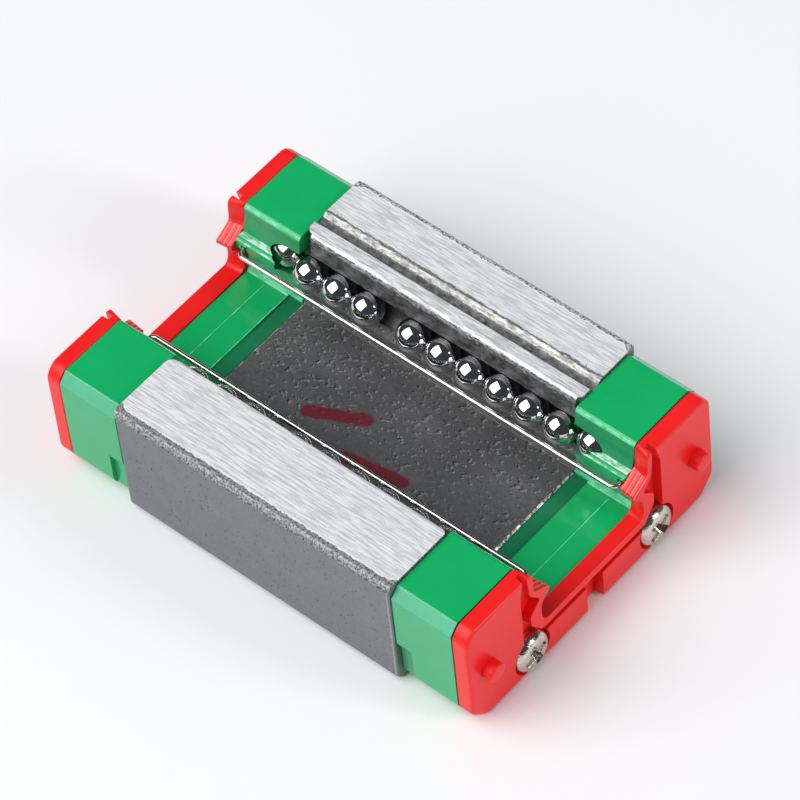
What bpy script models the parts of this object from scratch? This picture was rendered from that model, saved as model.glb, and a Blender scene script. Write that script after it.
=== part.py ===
"""Miniature profile-rail carriage, size 9 compact, lying on its mounting face.

The carriage is upside down on a bench: +Z points out of the open rail channel,
X runs along the rail and Y across it. The origin is the centre of the mounting
face. A hardened steel saddle has a plastic end cap and a wiping end seal at each
end. Each leg holds one closed circuit of balls: they carry load in the raceway,
turn round a return guide in the end cap and run back through a bore in the leg.
"""

import bpy
import bmesh
from math import acos, asin, cos, floor, pi, radians, sin
from mathutils import Matrix, Vector

MM = 0.001

# Steel saddle
BLOCK_LENGTH = 18.9 * MM
BLOCK_WIDTH = 20.0 * MM
BLOCK_HEIGHT = 8.0 * MM
CHANNEL_FLOOR = 2.75 * MM
FOOT_CHAMFER = 0.35 * MM
LAND_CHAMFER_Y = 0.22 * MM
LAND_CHAMFER_Z = 0.28 * MM
LAND_FROM_ROW = 0.65 * MM
LAND_LIP_Y = 0.20 * MM
LAND_LIP_Z = 0.15 * MM
UPPER_RACE_EDGE = 0.32 * MM
LOWER_RACE_EDGE = 0.21 * MM
RACE_SHELF_DROP = 0.49 * MM
FLOOR_CORNER_Y = 0.24 * MM
FLOOR_CORNER_Z = 0.30 * MM
CORNER_CUT = 0.45 * MM

# Lengthwise groove in the land of the far leg
LAND_GROOVE_FROM_EDGE = 0.77 * MM
LAND_GROOVE_WIDTH = 0.80 * MM
LAND_GROOVE_FLOOR = 0.36 * MM
LAND_GROOVE_DEPTH = 0.40 * MM
LAND_GROOVE_WALL = 0.06 * MM

# Tapped holes in the mounting face
MOUNT_PITCH_X = 10.0 * MM
MOUNT_FROM_SIDE = 2.5 * MM
MOUNT_HOLE_RADIUS = 1.25 * MM
MOUNT_HOLE_DEPTH = 3.0 * MM

# Balls and their path, set from the outer side of each leg
BALL_DIAMETER = 1.984 * MM
BALL_PITCH_GAP = 0.030 * MM
BALL_HEIGHT = 5.5 * MM
RETURN_FROM_SIDE = 2.0 * MM
TURN_RADIUS = 1.6 * MM
TURN_OUTSIDE_BLOCK = 0.15 * MM
RACE_CLEARANCE = 0.038 * MM
BORE_CLEARANCE = 0.108 * MM
CHANNEL_CLEARANCE = 0.128 * MM
TURN_CHORD_GAP = 0.012 * MM
REAR_GROUP = 3
GROUP_GAP = 1.19 * MM
ROW_END_INSET = 0.75 * MM
FRONT_END_INSET = 0.90 * MM

# Rail that the carriage runs on: its sides stand a little inside the ball rows
ROW_INSIDE_RAIL = 0.30 * MM
RAIL_CLEARANCE = 0.12 * MM

# Plastic end caps
CAP_LENGTH = 3.92 * MM
JOINT_GAP = 0.04 * MM
PLASTIC_SIDE_STEP = 0.16 * MM
PLASTIC_TOP_STEP = 0.22 * MM
PLASTIC_FOOT = 0.10 * MM
PLASTIC_CHAMFER_Y = 0.56 * MM
PLASTIC_CHAMFER_Z = 0.60 * MM
PLASTIC_FOOT_CHAMFER = 1.0 * MM
ROOF_FROM_ROW = 0.06 * MM
ROOF_RADIUS = 0.55 * MM
ROOF_WALL_END = 0.95 * MM
LEDGE_HEIGHT = 0.62 * MM
LEDGE_STEP_Y = 0.44 * MM
LEDGE_STEP_Z = 0.09 * MM
LEDGE_LINE_Z = 0.18 * MM
LEDGE_NOSE_Y = 0.27 * MM
LEDGE_NOSE_Z = 0.62 * MM
LEDGE_UNDER_Y = 0.40 * MM
LEDGE_UNDER_Z = 0.45 * MM
STRIP_WIDTH = 0.96 * MM
STRIP_DEPTH = 0.20 * MM
SIDE_STEP_LENGTH = 1.0 * MM
SIDE_STEP_DEPTH = 0.14 * MM
SIDE_STEP_HEIGHT = 3.35 * MM
POCKET_RADIUS = 1.45 * MM
POCKET_HALF_HEIGHT = 1.38 * MM
GUIDE_CLEARANCE = 0.03 * MM

# Wires that keep the balls in the raceway
WIRE_RADIUS = 0.15 * MM
WIRE_BALL_GAP = 0.24 * MM
WIRE_DROP = 0.10 * MM
WIRE_END_INSET = 0.24 * MM
WIRE_BEND_RADIUS = 0.40 * MM
WIRE_LEG = 1.25 * MM
WIRE_SLOT_GAP = 0.06 * MM

# Rubber-like end seals, with the wing beside the screw and the lip round the rail
SEAL_THICKNESS = 1.0 * MM
SEAL_EDGE_BEVEL = 0.22 * MM
SEAL_GROOVE_FLOOR = 0.45 * MM
SEAL_WING_FROM_ROW = 0.86 * MM
SEAL_WING_LEAN = 0.30 * MM
SEAL_STRIP_TOP = 2.15 * MM
SEAL_FLARE = 0.20 * MM
SEAL_FLOOR_RISE = 0.11 * MM
LIP_TIP_REACH = 0.06 * MM
LIP_BACK_STEP = 0.50 * MM
LIP_LOWER_STEP = 0.28 * MM
LIP_THICKNESS = 0.38 * MM
LIP_BACK_THICKNESS = 0.85 * MM
NOTCH_HALF_WIDTH = 0.66 * MM
NOTCH_FLOOR = 0.35 * MM
NUB_FROM_SIDE = 1.44 * MM
NUB_Z = 3.88 * MM
NUB_RADIUS = 0.58 * MM
NUB_HEIGHT = 0.65 * MM
NUB_BEVEL = 0.12 * MM

# Screws that hold the seal and the cap to the steel
SCREW_FROM_ROW = 0.28 * MM
SCREW_Z = 1.45 * MM
SCREW_HEAD_RADIUS = 1.28 * MM
SCREW_HEAD_HEIGHT = 0.75 * MM
SCREW_HEAD_SUNK = 0.50 * MM
SCREW_DOME_WIDTH = 0.48 * MM
SCREW_DOME_HEIGHT = 0.36 * MM
SCREW_SHANK_RADIUS = 0.60 * MM
SCREW_LENGTH = 6.4 * MM
SCREW_POINT = 0.30 * MM
SCREW_CLEARANCE = 0.07 * MM
SCREW_THREAD_GAP = 0.04 * MM
HEAD_CLEARANCE = 0.10 * MM
SLOT_HALF_WIDTH = 0.19 * MM
SLOT_HALF_LENGTH = 0.82 * MM
SLOT_TAPER = 0.62
SLOT_DEPTH = 0.45 * MM

# How finely round shapes are divided
ARC_STEPS = 8
BORE_SIDES = 16
TURN_STEPS = 12
DOME_STEPS = 3
VISIBLE_BALL = (14, 8)
HIDDEN_BALL = (10, 6)
OVERCUT = 0.5 * MM

# Places worked out from the sizes above
BLOCK_END = BLOCK_LENGTH / 2
CAP_START = BLOCK_END + JOINT_GAP
CAP_END = CAP_START + CAP_LENGTH
SEAL_START = CAP_END + JOINT_GAP
SEAL_END = SEAL_START + SEAL_THICKNESS
RETURN_Y = BLOCK_WIDTH / 2 - RETURN_FROM_SIDE
TURN_Y = RETURN_Y - TURN_RADIUS
ROW_Y = TURN_Y - TURN_RADIUS
TURN_X = BLOCK_END + TURN_OUTSIDE_BLOCK
TURN_LEAD = TURN_X - CAP_START
RAIL_WALL = ROW_Y - ROW_INSIDE_RAIL + RAIL_CLEARANCE
LAND_INNER_EDGE = ROW_Y + LAND_FROM_ROW
BALL_RADIUS = BALL_DIAMETER / 2
BALL_PITCH = BALL_DIAMETER + BALL_PITCH_GAP
RACE_RADIUS = BALL_RADIUS + RACE_CLEARANCE
BORE_RADIUS = BALL_RADIUS + BORE_CLEARANCE
CHANNEL_RADIUS = BALL_RADIUS + CHANNEL_CLEARANCE
PLASTIC_HALF_WIDTH = BLOCK_WIDTH / 2 - PLASTIC_SIDE_STEP
PLASTIC_TOP = BLOCK_HEIGHT - PLASTIC_TOP_STEP
ROOF_WALL = ROW_Y + ROOF_FROM_ROW
WIRE_Y = ROW_Y - BALL_RADIUS - WIRE_BALL_GAP - WIRE_RADIUS
WIRE_Z = BALL_HEIGHT - WIRE_DROP
WIRE_END = CAP_END - WIRE_END_INSET
SCREW_Y = ROW_Y + SCREW_FROM_ROW
SCREW_SEAT = SEAL_END - SCREW_HEAD_SUNK
SCREW_HOLE_RADIUS = SCREW_SHANK_RADIUS + SCREW_CLEARANCE
SEAL_WING_EDGE = ROW_Y + SEAL_WING_FROM_ROW
TURN_STEP = 2 * asin((BALL_DIAMETER + TURN_CHORD_GAP) / (2 * TURN_RADIUS))
TURN_SPACING = TURN_STEP * TURN_RADIUS

SIDES = (("near", -1), ("far", 1))
ENDS = (("rear", -1), ("front", 1))


# Scene and object helpers

def clear_scene():
    for obj in list(bpy.data.objects):
        bpy.data.objects.remove(obj, do_unlink=True)


def make_material(name, colour, roughness, metallic):
    material = bpy.data.materials.new(name)
    material.use_nodes = True
    shader = material.node_tree.nodes["Principled BSDF"]
    shader.inputs["Base Color"].default_value = (*colour, 1.0)
    shader.inputs["Roughness"].default_value = roughness
    shader.inputs["Metallic"].default_value = metallic
    return material


def add_object(name, mesh, material=None):
    obj = bpy.data.objects.new(name, mesh)
    bpy.context.collection.objects.link(obj)
    if material is not None:
        mesh.materials.append(material)
    return obj


def add_empty(name, location):
    empty = bpy.data.objects.new(name, None)
    empty.location = location
    bpy.context.collection.objects.link(empty)
    return empty


def finish_mesh(name, bm, smooth_angle=None):
    """Turn a bmesh into a mesh with outward faces, shaded smooth where it is round."""
    bmesh.ops.recalc_face_normals(bm, faces=bm.faces)
    mesh = bpy.data.meshes.new(name)
    bm.to_mesh(mesh)
    bm.free()
    if smooth_angle is not None:
        mesh.shade_smooth()
        mesh.set_sharp_from_angle(angle=radians(smooth_angle))
    return mesh


def add_cutter(name, bm):
    cutter = add_object(name, finish_mesh(name, bm))
    cutter.hide_render = True
    cutter.display_type = "WIRE"
    return cutter


def add_boolean(obj, cutter, operation="DIFFERENCE"):
    modifier = obj.modifiers.new(cutter.name, "BOOLEAN")
    modifier.operation = operation
    modifier.solver = "EXACT"
    modifier.object = cutter


# Shape helpers: each adds closed bodies to a bmesh

def add_loft(bm, sections):
    """Join outlines of (y, z) points, each at its own x, into one closed body."""
    loops = [[bm.verts.new((x, y, z)) for y, z in outline] for x, outline in sections]
    bm.faces.new(loops[0])
    bm.faces.new(loops[-1])
    for first, second in zip(loops, loops[1:]):
        for i in range(len(first)):
            j = (i + 1) % len(first)
            bm.faces.new((first[i], first[j], second[j], second[i]))


def add_prism(bm, outline, x0, x1):
    add_loft(bm, [(x0, outline), (x1, outline)])


def rectangle(y0, y1, z0, z1):
    return [(y0, z0), (y1, z0), (y1, z1), (y0, z1)]


def circle(centre_y, centre_z, radius, sides):
    turns = [2 * pi * (i + 0.5) / sides for i in range(sides)]
    return [(centre_y + radius * cos(t), centre_z + radius * sin(t)) for t in turns]


def arc(centre_y, centre_z, radius, start, end, steps):
    turns = [start + (end - start) * i / steps for i in range(steps + 1)]
    return [(centre_y + radius * cos(t), centre_z + radius * sin(t)) for t in turns]


def both_legs(far_half, near_half=None):
    """Close a half outline, drawn at +y, with its mirror image or another half."""
    mirrored = [(-y, z) for y, z in reversed(near_half or far_half)]
    return far_half + mirrored


def add_turned(bm, profile, place, sides):
    """Turn (radius, height) points round z, from axis to axis, into one closed body."""
    turns = [2 * pi * i / sides for i in range(sides)]
    rings = []
    for radius, height in profile:
        if radius == 0:
            rings.append([bm.verts.new(place @ Vector((0, 0, height)))] * sides)
        else:
            rings.append([bm.verts.new(place @ Vector((radius * cos(t), radius * sin(t), height)))
                          for t in turns])
    for low, high in zip(rings, rings[1:]):
        for i in range(sides):
            j = (i + 1) % sides
            bm.faces.new(list(dict.fromkeys((low[i], low[j], high[j], high[i]))))


def leg_places(x, y, z):
    """The four places of a feature that each leg has at each end."""
    return [(sx * x, sy * y, z) for sx in (-1, 1) for sy in (-1, 1)]


# Steel saddle

def steel_leg(grooved):
    """Half of the steel section at +y: foot, side, land, raceway and channel corner."""
    half = BLOCK_WIDTH / 2
    outer = [(half - FOOT_CHAMFER, 0),
             (half, FOOT_CHAMFER),
             (half, BLOCK_HEIGHT - LAND_CHAMFER_Z),
             (half - LAND_CHAMFER_Y, BLOCK_HEIGHT)]
    if grooved:
        groove_near = LAND_INNER_EDGE + LAND_GROOVE_FROM_EDGE
        groove_far = groove_near + LAND_GROOVE_WIDTH
        groove_floor = groove_far - LAND_GROOVE_WALL
        outer += [(groove_far, BLOCK_HEIGHT),
                  (groove_floor, BLOCK_HEIGHT - LAND_GROOVE_DEPTH),
                  (groove_floor - LAND_GROOVE_FLOOR, BLOCK_HEIGHT - LAND_GROOVE_DEPTH),
                  (groove_near, BLOCK_HEIGHT)]
    top = acos(UPPER_RACE_EDGE / RACE_RADIUS)
    bottom = -acos(LOWER_RACE_EDGE / RACE_RADIUS)
    race = arc(ROW_Y, BALL_HEIGHT, RACE_RADIUS, top, bottom, 2 * ARC_STEPS)
    inner = [(LAND_INNER_EDGE, BLOCK_HEIGHT),
             (LAND_INNER_EDGE - LAND_LIP_Y, BLOCK_HEIGHT - LAND_LIP_Z)]
    shelf = [(RAIL_WALL, race[-1][1] - RACE_SHELF_DROP),
             (RAIL_WALL, CHANNEL_FLOOR + FLOOR_CORNER_Z),
             (RAIL_WALL - FLOOR_CORNER_Y, CHANNEL_FLOOR)]
    return outer + inner + race + shelf


def build_block(steel):
    bm = bmesh.new()
    add_prism(bm, both_legs(steel_leg(True), steel_leg(False)), -BLOCK_END, BLOCK_END)
    block = add_object("steel_block", finish_mesh("steel_block", bm, 30), steel)

    holes = bmesh.new()
    for side, sign in SIDES:
        add_prism(holes, circle(sign * RETURN_Y, BALL_HEIGHT, BORE_RADIUS, BORE_SIDES),
                  -BLOCK_END - OVERCUT, BLOCK_END + OVERCUT)
    for x, y, z in leg_places(MOUNT_PITCH_X / 2, BLOCK_WIDTH / 2 - MOUNT_FROM_SIDE, 0):
        profile = [(0, -OVERCUT), (MOUNT_HOLE_RADIUS, -OVERCUT),
                   (MOUNT_HOLE_RADIUS, MOUNT_HOLE_DEPTH), (0, MOUNT_HOLE_DEPTH)]
        add_turned(holes, profile, Matrix.Translation((x, y, z)), BORE_SIDES)
    thread_radius = SCREW_SHANK_RADIUS + SCREW_THREAD_GAP
    thread_end = SCREW_SEAT - SCREW_LENGTH - SCREW_POINT
    for x, y, z in leg_places(1, SCREW_Y, SCREW_Z):
        add_prism(holes, circle(y, z, thread_radius, BORE_SIDES // 2),
                  x * thread_end, x * (BLOCK_END + OVERCUT))
    add_boolean(block, add_cutter("block_holes", holes))

    corners = bmesh.new()
    for x, y, z in leg_places(BLOCK_END, LAND_INNER_EDGE, 0):
        sx, sy = (1 if x > 0 else -1), (1 if y > 0 else -1)
        cut = [(x - sx * CORNER_CUT, y - sy * OVERCUT), (x + sx * OVERCUT, y - sy * OVERCUT),
               (x + sx * OVERCUT, y + sy * CORNER_CUT), (x, y + sy * CORNER_CUT),
               (x - sx * CORNER_CUT, y - sy * LAND_LIP_Y)]
        add_upright(corners, cut, BALL_HEIGHT + RACE_RADIUS, BLOCK_HEIGHT + OVERCUT)
    add_boolean(block, add_cutter("block_corner_cuts", corners))
    return block


def add_upright(bm, outline, z0, z1):
    """A prism that stands on an outline of (x, y) points."""
    low = [bm.verts.new((x, y, z0)) for x, y in outline]
    high = [bm.verts.new((x, y, z1)) for x, y in outline]
    bm.faces.new(low)
    bm.faces.new(high)
    for i in range(len(outline)):
        j = (i + 1) % len(outline)
        bm.faces.new((low[i], low[j], high[j], high[i]))


# End caps

def plastic_outside(inset=0.0):
    """Outer half outline that the caps and the seals share."""
    side = PLASTIC_HALF_WIDTH - inset
    top = PLASTIC_TOP - inset
    foot = PLASTIC_FOOT + inset
    return [(side - PLASTIC_FOOT_CHAMFER, foot),
            (side, foot + PLASTIC_FOOT_CHAMFER),
            (side, top - PLASTIC_CHAMFER_Z),
            (side - PLASTIC_CHAMFER_Y, top)]


def cap_leg():
    """Half of the cap section at +y, with the ledge that fills the rail's groove."""
    roof = arc(ROOF_WALL + ROOF_RADIUS, PLASTIC_TOP - ROOF_RADIUS, ROOF_RADIUS,
               pi / 2, pi, ARC_STEPS // 2)
    ledge_z = BALL_HEIGHT + LEDGE_HEIGHT
    step_y = RAIL_WALL - LEDGE_STEP_Y
    step_z = ledge_z - LEDGE_STEP_Z
    nose_y = step_y - LEDGE_NOSE_Y
    nose_z = step_z - LEDGE_LINE_Z
    under_z = nose_z - LEDGE_NOSE_Z
    ledge = [(ROOF_WALL, BALL_HEIGHT + ROOF_WALL_END),
             (RAIL_WALL, ledge_z),
             (step_y, step_z),
             (step_y, nose_z),
             (nose_y, nose_z),
             (nose_y, under_z),
             (nose_y + LEDGE_UNDER_Y, under_z - LEDGE_UNDER_Z),
             (RAIL_WALL, under_z - LEDGE_UNDER_Z - (RAIL_WALL - nose_y - LEDGE_UNDER_Y))]
    corner = [(RAIL_WALL, CHANNEL_FLOOR + FLOOR_CORNER_Z),
              (RAIL_WALL - FLOOR_CORNER_Y, CHANNEL_FLOOR)]
    return plastic_outside() + roof + ledge + corner


def add_turn(bm, profile, lead, sign, leg):
    """A half turn, round side outwards, that starts straight for the length of its lead.

    The profile's (radius, height) points run from the turn's axis level to the other."""
    outlines = []
    for radius, height in profile:
        bend = [(radius * cos(t), radius * sin(t)) for t in
                [pi * i / TURN_STEPS - pi / 2 for i in range(TURN_STEPS + 1)]]
        flat = [(-lead, -radius)] + bend + [(-lead, radius)]
        outlines.append([(sign * (TURN_X + x), leg * (TURN_Y + y), BALL_HEIGHT + height)
                         for x, y in flat])
    loops = [[bm.verts.new(point) for point in outline] for outline in outlines]
    bm.faces.new(loops[0])
    bm.faces.new(loops[-1])
    for low, high in zip(loops, loops[1:]):
        for i in range(len(low)):
            j = (i + 1) % len(low)
            bm.faces.new((low[i], low[j], high[j], high[i]))


def channel_profile():
    """Section of the turning channel with the guide's pocket inside it."""
    reach = pi / 2 + asin((TURN_RADIUS - POCKET_RADIUS) / CHANNEL_RADIUS)
    tube = arc(TURN_RADIUS, 0, CHANNEL_RADIUS, reach, -reach, 2 * ARC_STEPS)
    return [(POCKET_RADIUS, POCKET_HALF_HEIGHT)] + tube + [(POCKET_RADIUS, -POCKET_HALF_HEIGHT)]


def guide_profile():
    """Section of the return guide, with the waist that the balls roll round."""
    rim = POCKET_RADIUS - GUIDE_CLEARANCE
    half_height = POCKET_HALF_HEIGHT - GUIDE_CLEARANCE
    reach = pi / 2 + asin((TURN_RADIUS - rim) / CHANNEL_RADIUS)
    waist = arc(TURN_RADIUS, 0, CHANNEL_RADIUS, reach, 2 * pi - reach, ARC_STEPS)
    return [(rim, half_height)] + waist + [(rim, -half_height)]


def build_cap(name, sign, plastic):
    x0, x1 = sorted((sign * CAP_START, sign * CAP_END))
    bm = bmesh.new()
    add_prism(bm, both_legs(cap_leg()), x0, x1)
    cap = add_object(name, finish_mesh(name, bm, 30), plastic)

    turns = bmesh.new()
    for side, leg in SIDES:
        add_turn(turns, channel_profile(), TURN_LEAD + OVERCUT, sign, leg)
    add_boolean(cap, add_cutter(name + "_turns", turns))

    holes = bmesh.new()
    near_end, far_end = sign * (CAP_START - OVERCUT), sign * (CAP_END + OVERCUT)
    for side, leg in SIDES:
        add_prism(holes, circle(leg * SCREW_Y, SCREW_Z, SCREW_HOLE_RADIUS, BORE_SIDES // 2),
                  near_end, far_end)
        slot_half = WIRE_RADIUS + WIRE_SLOT_GAP
        leg_tip = WIRE_Y + WIRE_LEG + WIRE_SLOT_GAP
        add_prism(holes, rectangle(leg * (WIRE_Y - slot_half), leg * leg_tip,
                                   WIRE_Z - slot_half, WIRE_Z + slot_half),
                  sign * (WIRE_END - slot_half), far_end)
        side_y = leg * (PLASTIC_HALF_WIDTH - SIDE_STEP_DEPTH)
        add_prism(holes, rectangle(side_y, leg * (PLASTIC_HALF_WIDTH + OVERCUT),
                                   PLASTIC_FOOT - OVERCUT, SIDE_STEP_HEIGHT),
                  near_end, sign * (CAP_START + SIDE_STEP_LENGTH))
    strip_half = RAIL_WALL - FLOOR_CORNER_Y / 2
    add_prism(holes, rectangle(-strip_half, strip_half, CHANNEL_FLOOR - STRIP_DEPTH,
                               CHANNEL_FLOOR + FLOOR_CORNER_Z / 2),
              near_end, sign * (CAP_START + STRIP_WIDTH))
    add_boolean(cap, add_cutter(name + "_holes", holes))
    return cap


def build_guide(name, sign, leg, plastic):
    """The half spool that the balls turn round, seated in the cap against the steel."""
    bm = bmesh.new()
    add_turn(bm, guide_profile(), TURN_LEAD, sign, leg)
    return add_object(name, finish_mesh(name, bm, 40), plastic)


# End seals

def lip_height(share, rise):
    """A height between the channel's floor and the ball row, where the lip has a corner."""
    floor = CHANNEL_FLOOR + rise
    return floor + share * (BALL_HEIGHT - floor)


def lip_line(inset, flare, rise):
    """The wiping lip's rail side at +y, from the top of the leg down to the channel."""
    upper = ROW_Y - flare
    tip = WIRE_Y + 2 * LIP_TIP_REACH - flare / 2
    lower = RAIL_WALL - LIP_LOWER_STEP - flare
    shoulder = (upper + tip) / 2
    return [(upper + LIP_TIP_REACH, PLASTIC_TOP - inset),
            (upper, lip_height(1.36, rise)),
            (upper - LIP_TIP_REACH, lip_height(1.26, rise)),
            (shoulder, lip_height(1.12, rise)),
            (tip, lip_height(1.0, rise)),
            (tip, lip_height(0.89, rise)),
            (tip + LIP_BACK_STEP, lip_height(0.72, rise)),
            (lower, lip_height(0.56, rise)),
            (lower, lip_height(0.18, rise)),
            (lower - LIP_BACK_STEP / 2, CHANNEL_FLOOR + rise)]


def groove_leg():
    """Half outline at +y of the groove between the wing and the lip."""
    upper = ROW_Y - SEAL_FLARE + LIP_THICKNESS
    back = RAIL_WALL - LIP_LOWER_STEP - SEAL_FLARE + LIP_BACK_THICKNESS
    foot_rise = -LIP_THICKNESS / 2
    neck = (upper + WIRE_Y) / 2
    return [(SEAL_WING_EDGE, SEAL_STRIP_TOP),
            (SEAL_WING_EDGE, lip_height(1.34, foot_rise)),
            (SEAL_WING_EDGE - SEAL_WING_LEAN, PLASTIC_TOP),
            (SEAL_WING_EDGE - SEAL_WING_LEAN, PLASTIC_TOP + OVERCUT),
            (upper + LIP_TIP_REACH, PLASTIC_TOP + OVERCUT),
            (upper + LIP_TIP_REACH, PLASTIC_TOP),
            (upper - LIP_TIP_REACH, lip_height(1.2, foot_rise)),
            (neck + LIP_THICKNESS / 2, lip_height(1.0, foot_rise)),
            (neck, lip_height(0.88, foot_rise)),
            (back, lip_height(0.64, foot_rise)),
            (back, lip_height(0.36, foot_rise)),
            (back - LIP_THICKNESS, lip_height(0.2, foot_rise)),
            (back - 2 * LIP_THICKNESS, CHANNEL_FLOOR + foot_rise)]


def seal_outline(inset, flare, rise):
    return both_legs(plastic_outside(inset) + lip_line(inset, flare, rise))


def build_seal(name, sign, rubber):
    bevel_share = 1 - SEAL_EDGE_BEVEL / SEAL_THICKNESS
    sections = [(sign * SEAL_START, seal_outline(0, 0, SEAL_FLOOR_RISE)),
                (sign * (SEAL_END - SEAL_EDGE_BEVEL),
                 seal_outline(0, SEAL_FLARE * bevel_share, 2 * SEAL_FLOOR_RISE)),
                (sign * SEAL_END, seal_outline(SEAL_EDGE_BEVEL, SEAL_FLARE, 3 * SEAL_FLOOR_RISE))]
    bm = bmesh.new()
    add_loft(bm, sections)
    bmesh.ops.triangulate(bm, faces=[face for face in bm.faces if len(face.verts) == 4])
    seal = add_object(name, finish_mesh(name, bm, 30), rubber)

    outside = sign * (SEAL_END + OVERCUT)
    grooves = bmesh.new()
    add_prism(grooves, both_legs(groove_leg()), sign * (SEAL_START + SEAL_GROOVE_FLOOR), outside)
    add_boolean(seal, add_cutter(name + "_groove", grooves))

    holes = bmesh.new()
    for side, leg in SIDES:
        add_prism(holes, circle(leg * SCREW_Y, SCREW_Z, SCREW_HEAD_RADIUS + HEAD_CLEARANCE,
                                BORE_SIDES), sign * (SCREW_SEAT - JOINT_GAP), outside)
    add_prism(holes, rectangle(-NOTCH_HALF_WIDTH, NOTCH_HALF_WIDTH, PLASTIC_FOOT - OVERCUT,
                               SEAL_STRIP_TOP + JOINT_GAP),
              sign * (SEAL_START + NOTCH_FLOOR), outside)
    add_boolean(seal, add_cutter(name + "_recesses", holes))

    shanks = bmesh.new()
    for side, leg in SIDES:
        add_prism(shanks, circle(leg * SCREW_Y, SCREW_Z, SCREW_HOLE_RADIUS, BORE_SIDES // 2),
                  sign * (SEAL_START - OVERCUT), outside)
    add_boolean(seal, add_cutter(name + "_screw_holes", shanks))

    nubs = bmesh.new()
    nub_y = PLASTIC_HALF_WIDTH - NUB_FROM_SIDE
    for side, leg in SIDES:
        base = circle(leg * nub_y, NUB_Z, NUB_RADIUS, BORE_SIDES)
        tip = circle(leg * nub_y, NUB_Z, NUB_RADIUS - NUB_BEVEL, BORE_SIDES)
        add_loft(nubs, [(sign * (SEAL_END - SEAL_THICKNESS / 2), base),
                        (sign * (SEAL_END + NUB_HEIGHT - NUB_BEVEL), base),
                        (sign * (SEAL_END + NUB_HEIGHT), tip)])
    add_boolean(seal, add_cutter(name + "_nubs", nubs), "UNION")
    return seal


# Wires and screws

def build_wire(name, leg, steel):
    """A straight wire along the ball row, its ends bent into the cap's end slots."""
    bend = arc(-(WIRE_Y + WIRE_BEND_RADIUS), WIRE_END - WIRE_BEND_RADIUS, WIRE_BEND_RADIUS,
               0, pi / 2, ARC_STEPS // 2)
    half = [(x, -y) for y, x in bend] + [(WIRE_END, WIRE_Y + WIRE_LEG)]
    line = [(-x, y) for x, y in reversed(half)] + half
    curve = bpy.data.curves.new(name, "CURVE")
    curve.dimensions = "3D"
    curve.bevel_depth = WIRE_RADIUS
    curve.bevel_resolution = 2
    curve.use_fill_caps = True
    spline = curve.splines.new("POLY")
    spline.points.add(len(line) - 1)
    for point, (x, y) in zip(spline.points, line):
        point.co = (x, leg * y, WIRE_Z, 1)
    wire = bpy.data.objects.new(name, curve)
    curve.materials.append(steel)
    bpy.context.collection.objects.link(wire)
    return wire


def cross_outline(width, length):
    """A plus sign of (y, z) points."""
    arm = [(width, width), (width, length), (-width, length), (-width, width)]
    turned = []
    for quarter in range(4):
        turn = quarter * pi / 2
        for y, z in (arm[0], arm[1], arm[2]):
            turned.append((y * cos(turn) - z * sin(turn), y * sin(turn) + z * cos(turn)))
    return turned


def build_screw(name, sign, leg, metal):
    """A pan-head screw along x, turned round its own axis, with a cross recess."""
    head, shank = SCREW_HEAD_RADIUS, SCREW_SHANK_RADIUS
    dome = [(head - SCREW_DOME_WIDTH * (1 - cos(t)),
             SCREW_HEAD_HEIGHT - SCREW_DOME_HEIGHT * (1 - sin(t)))
            for t in [pi / 2 * i / DOME_STEPS for i in range(DOME_STEPS + 1)]]
    profile = [(0, -SCREW_LENGTH), (shank - SCREW_POINT / 2, -SCREW_LENGTH),
               (shank, SCREW_POINT - SCREW_LENGTH), (shank, 0), (head, 0)]
    profile += dome + [(0, SCREW_HEAD_HEIGHT)]
    bm = bmesh.new()
    to_x = Matrix.Rotation(sign * pi / 2, 4, "Y")
    add_turned(bm, profile, to_x, BORE_SIDES + 2)
    screw = add_object(name, finish_mesh(name, bm, 35), metal)
    screw.location = (sign * SCREW_SEAT, leg * SCREW_Y, SCREW_Z)

    recess = bmesh.new()
    bottom = SCREW_HEAD_HEIGHT - SLOT_DEPTH
    add_loft(recess, [
        (sign * bottom, cross_outline(SLOT_HALF_WIDTH * SLOT_TAPER, SLOT_HALF_LENGTH * SLOT_TAPER)),
        (sign * (SCREW_HEAD_HEIGHT + SLOT_DEPTH / 4),
         cross_outline(SLOT_HALF_WIDTH, SLOT_HALF_LENGTH))])
    cutter = add_cutter(name + "_recess", recess)
    cutter.location = screw.location
    add_boolean(screw, cutter)
    return screw


# Ball circuits

def load_row():
    """Places along x of the balls under load, with the open gap that the row has."""
    rear = -(TURN_X - ROW_END_INSET)
    places = [rear + i * BALL_PITCH for i in range(REAR_GROUP)]
    start = places[-1] + BALL_PITCH + GROUP_GAP
    count = floor((TURN_X - FRONT_END_INSET - start) / BALL_PITCH) + 1
    return places + [start + i * BALL_PITCH for i in range(count)]


def turn_angles(first):
    """Angles of the balls in a turn, counted from the load side of the circuit."""
    angles = [first]
    while angles[-1] + TURN_STEP < pi - TURN_STEP / 4:
        angles.append(angles[-1] + TURN_STEP)
    return angles


def return_row(rear_angle):
    """Places along x of the balls in the bore, front to rear."""
    start = TURN_X - ROW_END_INSET
    used = (pi - rear_angle) * TURN_RADIUS
    last = -TURN_X + max(0.0, TURN_SPACING - used)
    count = floor((start - last) / BALL_PITCH) + 1
    return [start - i * BALL_PITCH for i in range(count)]


def ball_mesh(name, divisions, steel):
    bm = bmesh.new()
    bmesh.ops.create_uvsphere(bm, u_segments=divisions[0], v_segments=divisions[1],
                              radius=BALL_RADIUS)
    mesh = finish_mesh(name, bm)
    mesh.shade_smooth()
    mesh.materials.append(steel)
    return mesh


def place_ball(name, mesh, location, parent=None):
    ball = bpy.data.objects.new(name, mesh)
    bpy.context.collection.objects.link(ball)
    ball.location = location
    if parent is not None:
        ball.parent = parent
        ball.location = Vector(location) - parent.location
    return ball


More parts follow.
